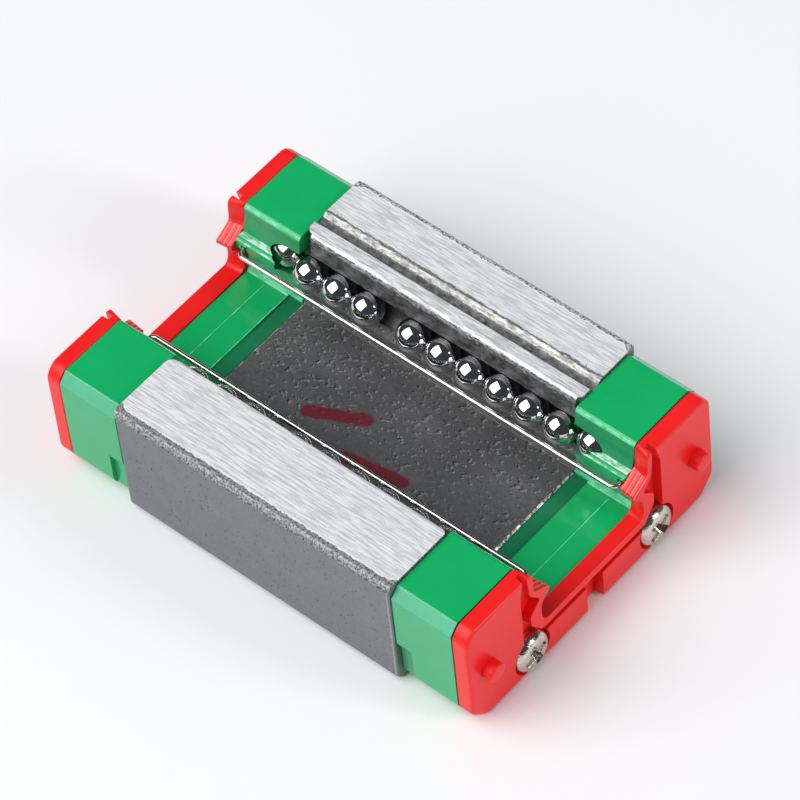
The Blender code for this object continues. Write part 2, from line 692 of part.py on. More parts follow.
def build_circuit(side, leg, steel):
    """All the balls of one leg: load row, front turn, return row and rear turn."""
    shown = ball_mesh(side + "_ball", VISIBLE_BALL, steel)
    hidden = ball_mesh(side + "_return_ball", HIDDEN_BALL, steel)
    row = load_row()
    for i, x in enumerate(row):
        place_ball(f"{side}_load_ball_{i + 1}", shown, (x, leg * ROW_Y, BALL_HEIGHT))

    first_angles = {"front": (row[-1] + TURN_SPACING - TURN_X) / TURN_RADIUS,
                    "rear": (TURN_SPACING - row[0] - TURN_X) / TURN_RADIUS}
    last_angle = {}
    for end, sign in ENDS:
        axis = add_empty(f"{side}_{end}_turn_axis", (sign * TURN_X, leg * TURN_Y, BALL_HEIGHT))
        angles = turn_angles(first_angles[end])
        last_angle[end] = angles[-1]
        for i, angle in enumerate(angles):
            x = sign * (TURN_X + TURN_RADIUS * sin(angle))
            y = leg * (TURN_Y - TURN_RADIUS * cos(angle))
            mesh = shown if i == 0 else hidden
            place_ball(f"{side}_{end}_turn_ball_{i + 1}", mesh, (x, y, BALL_HEIGHT), axis)

    for i, x in enumerate(return_row(last_angle["rear"])):
        place_ball(f"{side}_return_ball_{i + 1}", hidden, (x, leg * RETURN_Y, BALL_HEIGHT))


def main():
    clear_scene()
    ground_steel = make_material("ground_steel", (0.46, 0.47, 0.49), 0.38, 1.0)
    ball_steel = make_material("ball_steel", (0.78, 0.79, 0.81), 0.06, 1.0)
    wire_steel = make_material("wire_steel", (0.85, 0.85, 0.86), 0.10, 1.0)
    green = make_material("green_plastic", (0.010, 0.42, 0.11), 0.28, 0.0)
    red = make_material("red_plastic", (0.86, 0.02, 0.02), 0.35, 0.0)
    nickel = make_material("nickel_plate", (0.66, 0.62, 0.52), 0.25, 1.0)

    build_block(ground_steel)
    for end, sign in ENDS:
        build_cap(end + "_end_cap", sign, green)
        build_seal(end + "_end_seal", sign, red)
        for side, leg in SIDES:
            build_guide(f"{side}_{end}_return_guide", sign, leg, green)
            build_screw(f"{side}_{end}_screw", sign, leg, nickel)
    for side, leg in SIDES:
        build_wire(side + "_ball_wire", leg, wire_steel)
        build_circuit(side, leg, ball_steel)


main()
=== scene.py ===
# %% [markdown]
# A miniature linear guide carriage, lying on its mounting face with the rail
# channel upwards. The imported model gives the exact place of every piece. This
# script models each piece as finely as the eye can see it, gives each finish a
# procedural material, and lights the whole like a small studio photograph.
# Lengths are in metres, X runs along the rail and Z points out of the channel.

# %% Load the frame
from math import cos, pi, radians, sin

import bpy
from mathutils import Matrix, Vector


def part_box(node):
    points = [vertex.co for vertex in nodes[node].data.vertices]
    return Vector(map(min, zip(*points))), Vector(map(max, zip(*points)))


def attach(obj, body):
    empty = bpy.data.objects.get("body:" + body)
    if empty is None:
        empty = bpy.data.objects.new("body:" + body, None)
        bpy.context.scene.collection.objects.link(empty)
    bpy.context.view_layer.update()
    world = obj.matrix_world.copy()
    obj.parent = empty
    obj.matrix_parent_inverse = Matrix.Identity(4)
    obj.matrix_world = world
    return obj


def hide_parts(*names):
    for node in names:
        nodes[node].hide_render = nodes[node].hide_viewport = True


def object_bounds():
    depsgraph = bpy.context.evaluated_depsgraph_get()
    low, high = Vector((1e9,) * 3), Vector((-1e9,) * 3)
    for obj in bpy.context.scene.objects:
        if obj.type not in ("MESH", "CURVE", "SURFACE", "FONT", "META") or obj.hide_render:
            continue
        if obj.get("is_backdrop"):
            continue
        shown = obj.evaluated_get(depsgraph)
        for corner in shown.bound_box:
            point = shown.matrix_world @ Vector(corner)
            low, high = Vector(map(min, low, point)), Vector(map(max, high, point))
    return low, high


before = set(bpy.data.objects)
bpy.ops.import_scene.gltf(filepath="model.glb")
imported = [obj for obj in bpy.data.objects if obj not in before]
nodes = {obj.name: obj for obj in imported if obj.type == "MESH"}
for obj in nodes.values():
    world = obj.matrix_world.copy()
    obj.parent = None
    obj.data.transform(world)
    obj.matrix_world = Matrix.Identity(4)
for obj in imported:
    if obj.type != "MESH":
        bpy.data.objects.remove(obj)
cad_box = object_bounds()
scene = bpy.context.scene
MM = 0.001

# %% [markdown]
# The camera comes first, because every judgement of shape and colour is made
# through it. A long lens from above one corner shows both ball rows and one end,
# with little perspective, as in product photographs.

# %% Camera
bpy.ops.object.select_all(action="DESELECT")
bpy.ops.object.camera_add(location=(0.12026, -0.11544, 0.21607))
camera = bpy.context.active_object
camera.name = "studio_camera"
forward = Vector((-0.4452, 0.4336, -0.7835)).normalized()
camera_up = Vector((-0.4748, 0.6275, 0.6171)).normalized()
camera_right = forward.cross(camera_up).normalized()
camera_up = camera_right.cross(forward)
camera.matrix_world = Matrix((
    (camera_right.x, camera_up.x, -forward.x, camera.location.x),
    (camera_right.y, camera_up.y, -forward.y, camera.location.y),
    (camera_right.z, camera_up.z, -forward.z, camera.location.z),
    (0, 0, 0, 1)))
camera.data.sensor_width = 36
camera.data.lens = 230.9
camera.data.clip_start = 0.01
camera.data.clip_end = 10
scene.camera = camera
print("camera distance in mm:", round(camera.location.length / MM))

# %% [markdown]
# Most pieces here are long and have one section, like an extrusion. So the first
# tool is a section plate: a filled circle with as many corners as the section has,
# whose ring is put to the section's corners. Chosen corners can be rounded before
# the plate is extruded along X, which is far easier than rounding edges later.

# %% Tools for selecting by place
def deselect():
    if bpy.context.mode != "OBJECT":
        bpy.ops.object.mode_set(mode="OBJECT")
    bpy.ops.object.select_all(action="DESELECT")


def rename(piece, name):
    piece.name = name
    piece.data.name = name
    return piece


def name_active(name):
    return rename(bpy.context.active_object, name)


def make_active(piece):
    deselect()
    piece.select_set(True)
    bpy.context.view_layer.objects.active = piece


def pick(piece, test, kind="EDGE"):
    """Select the edges, faces or corners of a piece that pass a test."""
    make_active(piece)
    bpy.ops.object.mode_set(mode="EDIT")
    bpy.ops.mesh.select_mode(type=kind)
    bpy.ops.mesh.select_all(action="DESELECT")
    leave_edit()
    mesh = piece.data
    if kind == "FACE":
        tried = [(face, (face.center, face.normal)) for face in mesh.polygons]
    elif kind == "EDGE":
        tried = [(edge, [mesh.vertices[i].co for i in edge.vertices]) for edge in mesh.edges]
    else:
        tried = [(corner, (corner.co,)) for corner in mesh.vertices]
    chosen = [item for item, place in tried if test(*place)]
    for item in chosen:
        item.select = True
    bpy.ops.object.mode_set(mode="EDIT")
    return len(chosen)


def leave_edit():
    bpy.ops.object.mode_set(mode="OBJECT")


def apply_transform():
    bpy.ops.object.transform_apply(location=True, rotation=True, scale=True)


def edit_all():
    """Edit the active piece with everything selected."""
    bpy.ops.object.mode_set(mode="EDIT")
    bpy.ops.mesh.select_all(action="SELECT")


def extrude_by(x, y, z):
    bpy.ops.mesh.extrude_region_move(TRANSFORM_OT_translate={"value": (x, y, z)})


def face_outwards():
    """Turn every face outwards and leave edit mode."""
    bpy.ops.mesh.select_all(action="SELECT")
    bpy.ops.mesh.normals_make_consistent(inside=False)
    leave_edit()


# %% A section plate and its extrusion
def ring(name, corners, x, fill="NOTHING"):
    """A circle with as many vertices as the section has corners, put in their places."""
    deselect()
    bpy.ops.mesh.primitive_circle_add(vertices=len(corners), radius=MM, fill_type=fill,
                                      location=(0, 0, 0))
    outline = name_active(name)
    for vertex, (y, z) in zip(outline.data.vertices, corners):
        vertex.co = (x, y, z)
    return outline


def section_plate(name, corners, x, rounded=()):
    """A flat face of (y, z) corners at x; rounded holds (corner number, radius)."""
    plate = ring(name, corners, x, "NGON")
    for radius in sorted({r for _, r in rounded}):
        places = [Vector((x, *corners[i])) for i, r in rounded if r == radius]
        pick(plate, lambda co: any((co - p).length < 1e-6 for p in places), "VERT")
        bpy.ops.mesh.bevel(offset=radius, segments=5, affect="VERTICES", clamp_overlap=True)
        leave_edit()
    return plate


def extrude_plate(plate, length):
    make_active(plate)
    edit_all()
    extrude_by(length, 0, 0)
    face_outwards()
    return plate


def open_ring(name, sides, radius, place):
    """An open ring square to X, ready to be extruded."""
    deselect()
    bpy.ops.mesh.primitive_circle_add(vertices=sides, radius=radius, fill_type="NOTHING",
                                      location=place, rotation=(0, pi / 2, 0))
    piece = name_active(name)
    apply_transform()
    edit_all()
    return piece


def mirrored_section(half):
    """The corners of a half section at +y, closed with their mirror image."""
    return half + [(-y, z) for y, z in reversed(half)]


# %% Tools for cutting and joining
def combine(piece, other, operation="DIFFERENCE"):
    """Cut another closed mesh from a piece, or join it on, and delete the other."""
    make_active(piece)
    modifier = piece.modifiers.new("combine", "BOOLEAN")
    modifier.operation = operation
    modifier.solver = "EXACT"
    modifier.object = other
    bpy.ops.object.modifier_apply(modifier="combine")
    bpy.data.objects.remove(other, do_unlink=True)


def box_between(x, y, z):
    """A box from its two limits along each axis, in any order."""
    deselect()
    low, high = (Vector([limit(pair) for pair in (x, y, z)]) for limit in (min, max))
    bpy.ops.mesh.primitive_cube_add(size=1, location=(low + high) / 2)
    box = name_active("box_cutter")
    box.scale = high - low
    apply_transform()
    return box


def rod(ends, place, radius, sides=48, upright=False):
    """A rod along X at its (y, z), or an upright one at its (x, y)."""
    deselect()
    middle = (ends[0] + ends[1]) / 2
    bpy.ops.mesh.primitive_cylinder_add(
        vertices=sides, radius=radius, depth=abs(ends[1] - ends[0]),
        location=(*place, middle) if upright else (middle, *place),
        rotation=(0, 0 if upright else pi / 2, 0))
    piece = name_active("rod")
    apply_transform()
    return piece


def bevel_edges(piece, test, width, segments=2):
    count = pick(piece, test)
    if count:
        bpy.ops.mesh.bevel(offset=width, segments=segments, profile=0.5, affect="EDGES",
                           clamp_overlap=True)
    leave_edit()
    return count


def shade(piece, angle=35):
    """Smooth shading with sharp edges where faces meet at more than the angle."""
    make_active(piece)
    apply_transform()
    bpy.ops.object.shade_smooth_by_angle(angle=radians(angle))
    return len(piece.data.polygons)


# %% [markdown]
# The saddle is one block of hardened steel. Its section is drawn leg by leg: the
# foot, the outer side, the ground land on top, the ball groove and the corner of
# the channel. The grooves for the balls are then cut with long rods, just as a
# grinding wheel with a round rim would do it. The land of the far leg has a thin
# lengthwise groove, which marks the side that is ground as a datum.

# %% Section of the saddle
BLOCK_END = 9.45 * MM
HALF_WIDTH = 10.0 * MM
LAND_TOP = 8.0 * MM
CHANNEL_FLOOR = 2.75 * MM
BALL_RADIUS = 0.992 * MM
BALL_HEIGHT = 5.5 * MM
ROW_Y = 4.8 * MM
RETURN_Y = 8.0 * MM
TURN_Y = 6.4 * MM
TURN_X = 9.6 * MM
SCREW_Y = 5.08 * MM
SCREW_Z = 1.45 * MM
TAPPED_RADIUS = 0.64 * MM
CLEAR_RADIUS = 0.67 * MM
LAND_EDGE = 5.45 * MM
NEAR_EDGE = 5.34 * MM


def saddle_leg(grooved):
    leg = [(9.50, 0), (10.0, 0.50), (10.0, 7.72), (9.78, 8.0)]
    if grooved:
        leg += [(7.02, 8.0), (6.80, 7.74), (6.30, 7.60), (6.24, 8.0), (5.45, 8.0), (5.25, 7.85)]
    else:
        leg += [(5.34, 8.0), (5.20, 7.87)]
    leg += [(5.12, 6.48), (5.01, 4.49), (4.62, 4.0), (4.62, 2.86), (4.53, 2.75)]
    return [(y * MM, z * MM) for y, z in leg]


near_leg = saddle_leg(False)
far_leg = saddle_leg(True)
saddle_section = far_leg + [(-y, z) for y, z in reversed(near_leg)]
softened = [(i, 0.10 * MM) for i, (y, z) in enumerate(saddle_section)
            if z > 7.7 * MM or z < 0.5 * MM]
saddle = section_plate("saddle_fine", saddle_section, -BLOCK_END, softened)
extrude_plate(saddle, 2 * BLOCK_END)
print("saddle section corners:", len(saddle.data.vertices) // 2)

# %% Ball grooves and return bores
RACE_RADIUS = 1.032 * MM
BORE_RADIUS = 1.1 * MM
WHOLE_LENGTH = (-BLOCK_END - MM, BLOCK_END + MM)
for leg in (-1, 1):
    combine(saddle, rod(WHOLE_LENGTH, (leg * ROW_Y, BALL_HEIGHT), RACE_RADIUS, 72))
    combine(saddle, rod(WHOLE_LENGTH, (leg * RETURN_Y, BALL_HEIGHT), BORE_RADIUS))
    for end in (-1, 1):
        combine(saddle, rod((end * 6.0 * MM, end * (BLOCK_END + MM)),
                            (leg * SCREW_Y, SCREW_Z), TAPPED_RADIUS, 24))
print("saddle faces after the grooves:", len(saddle.data.polygons))

# %% [markdown]
# The land's inner corners are cut back where the end caps begin, some with a wide
# round and some with a small one, and the outer corners of the block are
# rounded over their whole height. Each cutter is a block that an upright rod has
# hollowed, so what it leaves of the steel is a quarter round.

# %% Corners of the lands
FULL_HEIGHT = -1.0
LANDS_ONLY = 6.53


def corner_cutter(sx, edge, outward, radius, foot):
    """What a round of that radius takes off a corner of the block, above the foot."""
    x0, y0 = sx * (BLOCK_END - radius), edge - outward * radius
    cutter = box_between((x0, sx * (BLOCK_END + MM)), (y0, edge + outward * MM),
                         (foot, LAND_TOP + MM))
    combine(cutter, rod((foot - MM, LAND_TOP + 2 * MM), (x0, y0), radius, 64,
                        upright=True))
    return cutter


for sx, edge, outward, radius, foot in (
        (-1, -NEAR_EDGE, 1, 0.50, LANDS_ONLY), (1, -NEAR_EDGE, 1, 0.25, LANDS_ONLY),
        (-1, LAND_EDGE, -1, 0.45, LANDS_ONLY), (1, LAND_EDGE, -1, 0.22, LANDS_ONLY),
        (-1, HALF_WIDTH, 1, 0.40, FULL_HEIGHT), (1, HALF_WIDTH, 1, 0.35, FULL_HEIGHT),
        (-1, -HALF_WIDTH, -1, 0.36, FULL_HEIGHT), (1, -HALF_WIDTH, -1, 0.16, FULL_HEIGHT)):
    combine(saddle, corner_cutter(sx, edge, outward, radius * MM, foot * MM))
print("saddle faces after the corners:", len(saddle.data.polygons))

# %% [markdown]
# Four tapped holes in the mounting face take the screws of whatever the carriage
# carries. The cutter is a stack of rings, extruded upwards while it is scaled in
# and out, which leaves the ridges of a thread on the wall.

# %% Tapped holes in the mounting face
THREAD_PITCH = 0.5 * MM
THREAD_CREST, THREAD_ROOT = 1.25, 1.5
MOUNT_X, MOUNT_Y = 5 * MM, 7.5 * MM


def thread_cutter(x, y):
    deselect()
    bpy.ops.mesh.primitive_circle_add(vertices=32, radius=THREAD_ROOT * MM,
                                      fill_type="NOTHING", location=(x, y, -0.1 * MM))
    cutter = name_active("thread_cutter")
    edit_all()
    narrow, wide = THREAD_CREST / THREAD_ROOT, THREAD_ROOT / THREAD_CREST
    for step in range(12):
        extrude_by(0, 0, THREAD_PITCH / 2)
        size = narrow if step % 2 == 0 else wide
        bpy.ops.transform.resize(value=(size, size, 1), center_override=(x, y, 0))
    extrude_by(0, 0, 0.1 * MM)
    bpy.ops.mesh.select_all(action="SELECT")
    bpy.ops.mesh.fill_holes(sides=0)
    bpy.ops.mesh.normals_make_consistent(inside=False)
    leave_edit()
    apply_transform()
    return cutter


for x in (-MOUNT_X, MOUNT_X):
    for y in (-MOUNT_Y, MOUNT_Y):
        combine(saddle, thread_cutter(x, y))


def on_end(a, b):
    return abs(a.x - b.x) < 1e-6 and abs(abs(a.x) - BLOCK_END) < 1e-6


def on_race_edge(co):
    return abs(abs(co.y) - 5.12 * MM) < 0.02 * MM and abs(co.z - 6.48 * MM) < 0.02 * MM


rim = bevel_edges(saddle, lambda a, b: on_end(a, b) and max(a.z, b.z) < 2.8 * MM
                  and min(a.z, b.z) > 2.7 * MM, 0.10 * MM, 1)
rim += bevel_edges(saddle, lambda a, b: abs(a.x - b.x) > MM and on_race_edge(a)
                   and on_race_edge(b), 0.03 * MM, 1)
print("edges softened:", rim, "faces:", shade(saddle))

# %% [markdown]
# The end caps are moulded plastic. Each has the carriage's outline and a channel
# with a ledge, and hides the path on which the balls turn round from the load row
# to the return bore. That path is made as a moulder's core pin would be: a ring is
# extruded, spun through half a turn and extruded again, then cut from the cap.

# %% Section of the end caps
CAP_START = 9.49 * MM
CAP_END = 13.41 * MM
PLASTIC_SIDE = 9.84 * MM
PLASTIC_TOP = 7.78 * MM
WIRE_Y = 3.418 * MM
WIRE_Z = 5.4 * MM
WIRE_RADIUS = 0.15 * MM
WIRE_END = 13.17 * MM
REAR_SHORTER = 0.30 * MM
CHANNEL_RADIUS = 1.12 * MM
cap_leg = [(8.84, 0.10), (9.84, 1.10), (9.84, 7.18), (9.28, 7.78), (4.86, 7.78),
           (4.82, 6.95), (4.56, 5.92), (4.20, 5.98), (4.10, 5.82), (3.91, 5.86),
           (3.91, 5.23), (4.31, 4.78), (4.62, 4.47), (4.62, 3.05), (4.38, 2.75)]
cap_section = mirrored_section([(y * MM, z * MM) for y, z in cap_leg])
ROUNDED_CORNERS = {1: 0.25, 3: 0.06, 4: 0.32, 5: 0.20, 6: 0.05, 7: 0.06, 8: 0.04,
                   9: 0.07, 10: 0.10, 11: 0.06, 14: 0.08}
cap_rounds = [(i, r * MM) for i, r in ROUNDED_CORNERS.items()]
cap_rounds += [(len(cap_section) - 1 - i, r) for i, r in cap_rounds]
print("cap section corners:", len(cap_section), "rounded:", len(cap_rounds))

# %% The path of a turn
def turn_path(name, sx, leg):
    """The space that balls sweep in a cap: straight in, half a turn, straight out."""
    start = CAP_START - 0.6 * MM
    path = open_ring(name, 40, CHANNEL_RADIUS, (start, ROW_Y, BALL_HEIGHT))
    extrude_by(TURN_X - start, 0, 0)
    bpy.ops.mesh.spin(steps=24, angle=pi, center=(TURN_X, TURN_Y, BALL_HEIGHT),
                      axis=(0, 0, -1))
    extrude_by(start - TURN_X, 0, 0)
    bpy.ops.mesh.select_all(action="SELECT")
    bpy.ops.mesh.remove_doubles(threshold=1e-7)
    bpy.ops.mesh.fill_holes(sides=0)
    leave_edit()
    return mirror_to(path, sx, leg)


def mirror_to(piece, sx, leg):
    """Move a piece made for the front far corner to another corner of the carriage."""
    make_active(piece)
    piece.scale = (sx, leg, 1)
    apply_transform()
    edit_all()
    bpy.ops.mesh.normals_make_consistent(inside=False)
    leave_edit()
    return piece


# %% Mould one end cap
POCKET_RADIUS = 1.45 * MM
POCKET_ENDS = (4.12 * MM, 6.88 * MM)
SLOT_HALF = 0.21 * MM
RIB_HALF = 4.2 * MM
STRIP_END = CAP_START + 0.96 * MM


def mould_cap(name, sx):
    cap = section_plate(name, cap_section, sx * CAP_START, cap_rounds)
    extrude_plate(cap, sx * (CAP_END - CAP_START))
    slot_start = WIRE_END - SLOT_HALF - (REAR_SHORTER if sx < 0 else 0)
    slot_end = CAP_END + MM if sx > 0 else WIRE_END - 0.09 * MM
    for leg in (-1, 1):
        combine(cap, turn_path("turn_core", sx, leg))
        combine(cap, rod(POCKET_ENDS, (sx * TURN_X, leg * TURN_Y), POCKET_RADIUS,
                         upright=True))
        combine(cap, box_between((sx * slot_start, sx * slot_end),
                                 (leg * (WIRE_Y - SLOT_HALF), leg * (WIRE_Y + 1.31 * MM)),
                                 (WIRE_Z - SLOT_HALF, WIRE_Z + SLOT_HALF)))
        combine(cap, box_between((sx * (CAP_START - MM), sx * (CAP_START + 1.0 * MM)),
                                 (leg * 9.56 * MM, leg * 11 * MM), (-MM, 3.35 * MM)))
        combine(cap, rod((sx * (CAP_START - MM), sx * (CAP_END + MM)),
                         (leg * SCREW_Y, SCREW_Z), CLEAR_RADIUS, 24))
    combine(cap, box_between((sx * (CAP_START - MM), sx * STRIP_END),
                             (-4.5 * MM, 4.5 * MM), (2.63 * MM, 2.85 * MM)))
    combine(cap, box_between((sx * 11.97 * MM, sx * 12.03 * MM), (-RIB_HALF, RIB_HALF),
                             (2.6 * MM, 2.77 * MM)), "UNION")
    return cap


front_cap = mould_cap("front_cap_fine", 1)
rear_cap = mould_cap("rear_cap_fine", -1)
combine(rear_cap, box_between((-STRIP_END, -STRIP_END - 0.06 * MM), (-RIB_HALF, RIB_HALF),
                              (2.65 * MM, 2.77 * MM)), "UNION")
bevel_edges(rear_cap, lambda a, b: max(a.x, b.x) < 1e-6 - CAP_END
            and min(a.z, b.z) > PLASTIC_TOP - 1e-6, 0.07 * MM, 1)
for cap in (front_cap, rear_cap):
    print(cap.name, "faces:", shade(cap, 30))

# %% [markdown]
# Inside each turn sits a half spool that the balls roll round. It starts as an
# upright cylinder, loses the half that would stand in the steel, and gets its
# waist from the same core pin that hollowed the cap.

# %% Return guides
GUIDE_RADIUS = 1.42 * MM
GUIDE_ENDS = (4.15 * MM, 6.85 * MM)


def mould_guide(name, sx, leg):
    guide = rename(rod(GUIDE_ENDS, (sx * TURN_X, leg * TURN_Y), GUIDE_RADIUS,
                       upright=True), name)
    combine(guide, box_between((sx * CAP_START, sx * (CAP_START - 3 * MM)),
                               (leg * 3 * MM, leg * 10 * MM), (3 * MM, 8 * MM)))
    combine(guide, turn_path("waist_core", sx, leg))
    shade(guide, 40)
    return guide


guides = {}
for end, sx in (("rear", -1), ("front", 1)):
    for side, leg in (("near", -1), ("far", 1)):
        guides[f"{side}_{end}"] = mould_guide(f"{side}_{end}_guide_fine", sx, leg)
print("guides:", len(guides))

# %% [markdown]
# The end seals are moulded in a softer red plastic. Their outline is the cap's,
# but the channel side carries a lip that leans outwards and touches the rail. A
# shape that changes along X can't be one extrusion, so rings are drawn at several
# places along it and bridged, with the outer edge rounded off ring by ring.

# %% Bridging rings of corners
SEAL_START = 13.45 * MM
SEAL_END = 14.45 * MM
EDGE_ROUND = 0.19 * MM


def bridge_rings(name, rings):
    make_active(rings[0])
    for other in rings[1:]:
        other.select_set(True)
    bpy.ops.object.join()
    body = name_active(name)
    edit_all()
    bpy.ops.mesh.bridge_edge_loops()
    bpy.ops.mesh.select_all(action="SELECT")
    bpy.ops.mesh.fill_holes(sides=0)
    face_outwards()
    return body


# %% Section of the seals
def round_corners(points, radius, steps=4):
    """Replace every corner of a section by a short curve."""
    curve = []
    for i, point in enumerate(points):
        here = Vector(point)
        before = Vector(points[i - 1]) - here
        after = Vector(points[(i + 1) % len(points)]) - here
        reach = min(radius, before.length / 2.1, after.length / 2.1)
        start = here + before.normalized() * reach
        end = here + after.normalized() * reach
        for step in range(steps + 1):
            t = step / steps
            curve.append(tuple(start * (1 - t) ** 2 + here * 2 * t * (1 - t) + end * t ** 2))
    return curve


def seal_height(share, rise):
    floor = CHANNEL_FLOOR + rise
    return floor + share * (BALL_HEIGHT - floor)


def seal_section(inset, flare, rise):
    """The seal's outline; the lip leans towards the channel by the flare."""
    side, top, foot = PLASTIC_SIDE - inset, PLASTIC_TOP - inset, 0.10 * MM + inset
    upper = ROW_Y - flare
    tip = WIRE_Y + 0.12 * MM - flare / 2
    lower = 4.34 * MM - flare

    def lift(share):
        return seal_height(share, rise)

    half = [(side - MM, foot), (side, foot + MM), (side, top - 0.60 * MM),
            (side - 0.56 * MM, top), (upper + 0.06 * MM, top), (upper, lift(1.36)),
            (upper - 0.06 * MM, lift(1.26)), ((upper + tip) / 2, lift(1.12)),
            (tip, lift(1.0)), (tip, lift(0.89)), (tip + 0.5 * MM, lift(0.72)),
            (lower, lift(0.56)), (lower, lift(0.18)), (lower - 0.25 * MM, lift(0.0))]
    return round_corners(mirrored_section(half), 0.30 * MM)


def groove_section():
    """The groove between the outer wing and the lip, open at the top."""
    def lift(share):
        return seal_height(share, -0.19 * MM) / MM

    half = [(5.66, 2.15), (5.66, lift(1.34)), (5.36, 7.78), (5.36, 8.28), (5.04, 8.28),
            (5.04, 7.78), (4.92, lift(1.2)), (4.39, lift(1.0)), (4.20, lift(0.88)),
            (4.99, lift(0.64)), (4.99, lift(0.36)), (4.61, lift(0.2)), (4.23, lift(0.0))]
    return round_corners(mirrored_section([(y * MM, z * MM) for y, z in half]), 0.20 * MM)


# %% Mould one seal
SEAT_RADIUS = 1.38 * MM
STUD_RADIUS = 0.58 * MM


def mould_seal(name, sx):
    rings = [ring("seal_ring", seal_section(0.08 * MM, 0, 0.11 * MM), sx * SEAL_START),
             ring("seal_ring", seal_section(0, 0, 0.11 * MM), sx * (SEAL_START + 0.06 * MM))]
    for turn in (0, 30, 60, 90):
        t = radians(turn)
        share = 1 - EDGE_ROUND * (1 - sin(t)) / MM
        rings.append(ring("seal_ring", seal_section(EDGE_ROUND * (1 - cos(t)),
                                                    0.2 * MM * share,
                                                    (0.11 + 0.22 * share) * MM),
                          sx * (SEAL_END - EDGE_ROUND * (1 - sin(t)))))
    seal = bridge_rings(name, rings)
    groove = section_plate("groove", groove_section(), sx * (SEAL_START + 0.45 * MM))
    combine(seal, extrude_plate(groove, sx * 1.2 * MM))
    return seal


def drill_seal(seal, sx):
    """The screw seats, the notch in the foot, and the two round studs."""
    outside = sx * (SEAL_END + MM)
    tip = sx * (SEAL_END + 0.65 * MM)
    for leg in (-1, 1):
        screw_place = (leg * SCREW_Y, SCREW_Z)
        combine(seal, rod((sx * 13.91 * MM, outside), screw_place, SEAT_RADIUS))
        combine(seal, rod((sx * 13 * MM, outside), screw_place, CLEAR_RADIUS, 24))
        stud = rod((sx * 14.0 * MM, tip), (leg * 8.40 * MM, 3.88 * MM), STUD_RADIUS, 40)
        bevel_edges(stud, lambda a, b: abs(a.x - tip) < 1e-6 and abs(b.x - tip) < 1e-6,
                    0.12 * MM, 4)
        combine(seal, stud, "UNION")
    combine(seal, box_between((sx * 13.80 * MM, outside), (-0.66 * MM, 0.66 * MM),
                              (-MM, 2.19 * MM)))
    return seal


front_seal = drill_seal(mould_seal("front_seal_fine", 1), 1)
rear_seal = drill_seal(mould_seal("rear_seal_fine", -1), -1)
for seal in (front_seal, rear_seal):
    print(seal.name, "faces:", shade(seal, 30))

# %% [markdown]
# A thin wire beside each row keeps the balls in when there is no rail. Its ends
# are bent outwards and sit in slots of the caps. Half of it is a small ring that
# is extruded, spun round the bend and extruded again; a Mirror modifier makes the
# other half.

# %% Ball wires
BEND = 0.4 * MM


def bend_wire(name, leg, y):
    wire = open_ring(name, 20, WIRE_RADIUS, (0, y, WIRE_Z))
    extrude_by(WIRE_END - BEND, 0, 0)
    bpy.ops.mesh.spin(steps=10, angle=pi / 2, center=(WIRE_END - BEND, y + BEND, WIRE_Z),
                      axis=(0, 0, -1))
    extrude_by(0, WIRE_Y + 1.25 * MM - y - BEND, 0)
    bpy.ops.mesh.edge_face_add()
    leave_edit()
    mirror = wire.modifiers.new("other_half", "MIRROR")
    mirror.use_axis[0] = True
    mirror.merge_threshold = 1e-6
    bpy.ops.object.modifier_apply(modifier="other_half")
    mirror_to(wire, 1, leg)
    pick(wire, lambda co: co.x < -12 * MM, "VERT")
    bpy.ops.transform.translate(value=(REAR_SHORTER, 0, 0))
    leave_edit()
    shade(wire, 50)
    return wire


wires = {"near": bend_wire("near_wire_fine", -1, 3.50 * MM),
         "far": bend_wire("far_wire_fine", 1, WIRE_Y)}
print("wire faces:", len(wires["far"].data.polygons))

# %% [markdown]
# Four small pan-head screws hold seal and cap to the steel. The head is a cylinder
# whose rim is bevelled to a dome, the shank is extruded from its back, and the
# cross recess is a plate in the shape of a plus, tapered as the driver's tip is.

# %% One screw, then its copies
HEAD_RADIUS = 1.28 * MM
HEAD_HEIGHT = 0.75 * MM
SHANK_RADIUS = 0.60 * MM
SCREW_SEAT = 13.95 * MM


def turn_screw(name):
    screw = rename(rod((0, HEAD_HEIGHT), (0, 0), HEAD_RADIUS), name)
    pick(screw, lambda centre, normal: normal.x < -0.9, "FACE")
    bpy.ops.mesh.inset(thickness=HEAD_RADIUS - SHANK_RADIUS)
    extrude_by(-6.1 * MM, 0, 0)
    extrude_by(-0.3 * MM, 0, 0)
    bpy.ops.transform.resize(value=(1, 0.75, 0.75), center_override=(0, 0, 0))
    leave_edit()
    bevel_edges(screw, lambda a, b: min(a.x, b.x) > HEAD_HEIGHT - 1e-6, 0.58 * MM, 8)
    bevel_edges(screw, lambda a, b: abs(a.x) < 1e-6 and abs(b.x) < 1e-6
                and a.yz.length > HEAD_RADIUS - 1e-6, 0.06 * MM, 3)
    return screw


def cross_recess(depth, width, length):
    cross = []
    for quarter in range(4):
        c, s = round(cos(quarter * pi / 2)), round(sin(quarter * pi / 2))
        for y, z in ((width, width), (width, length), (-width, length)):
            cross.append((y * c - z * s, y * s + z * c))
    recess = section_plate("recess", cross, HEAD_HEIGHT + 0.1 * MM)
    extrude_plate(recess, -depth - 0.1 * MM)
    pick(recess, lambda centre, normal: centre.x < HEAD_HEIGHT - depth + 1e-6, "FACE")
    bpy.ops.transform.resize(value=(1, 0.50, 0.50), center_override=(0, 0, 0))
    leave_edit()
    return recess


master_screw = turn_screw("screw_master")
combine(master_screw, cross_recess(0.46 * MM, 0.28 * MM, 0.92 * MM))


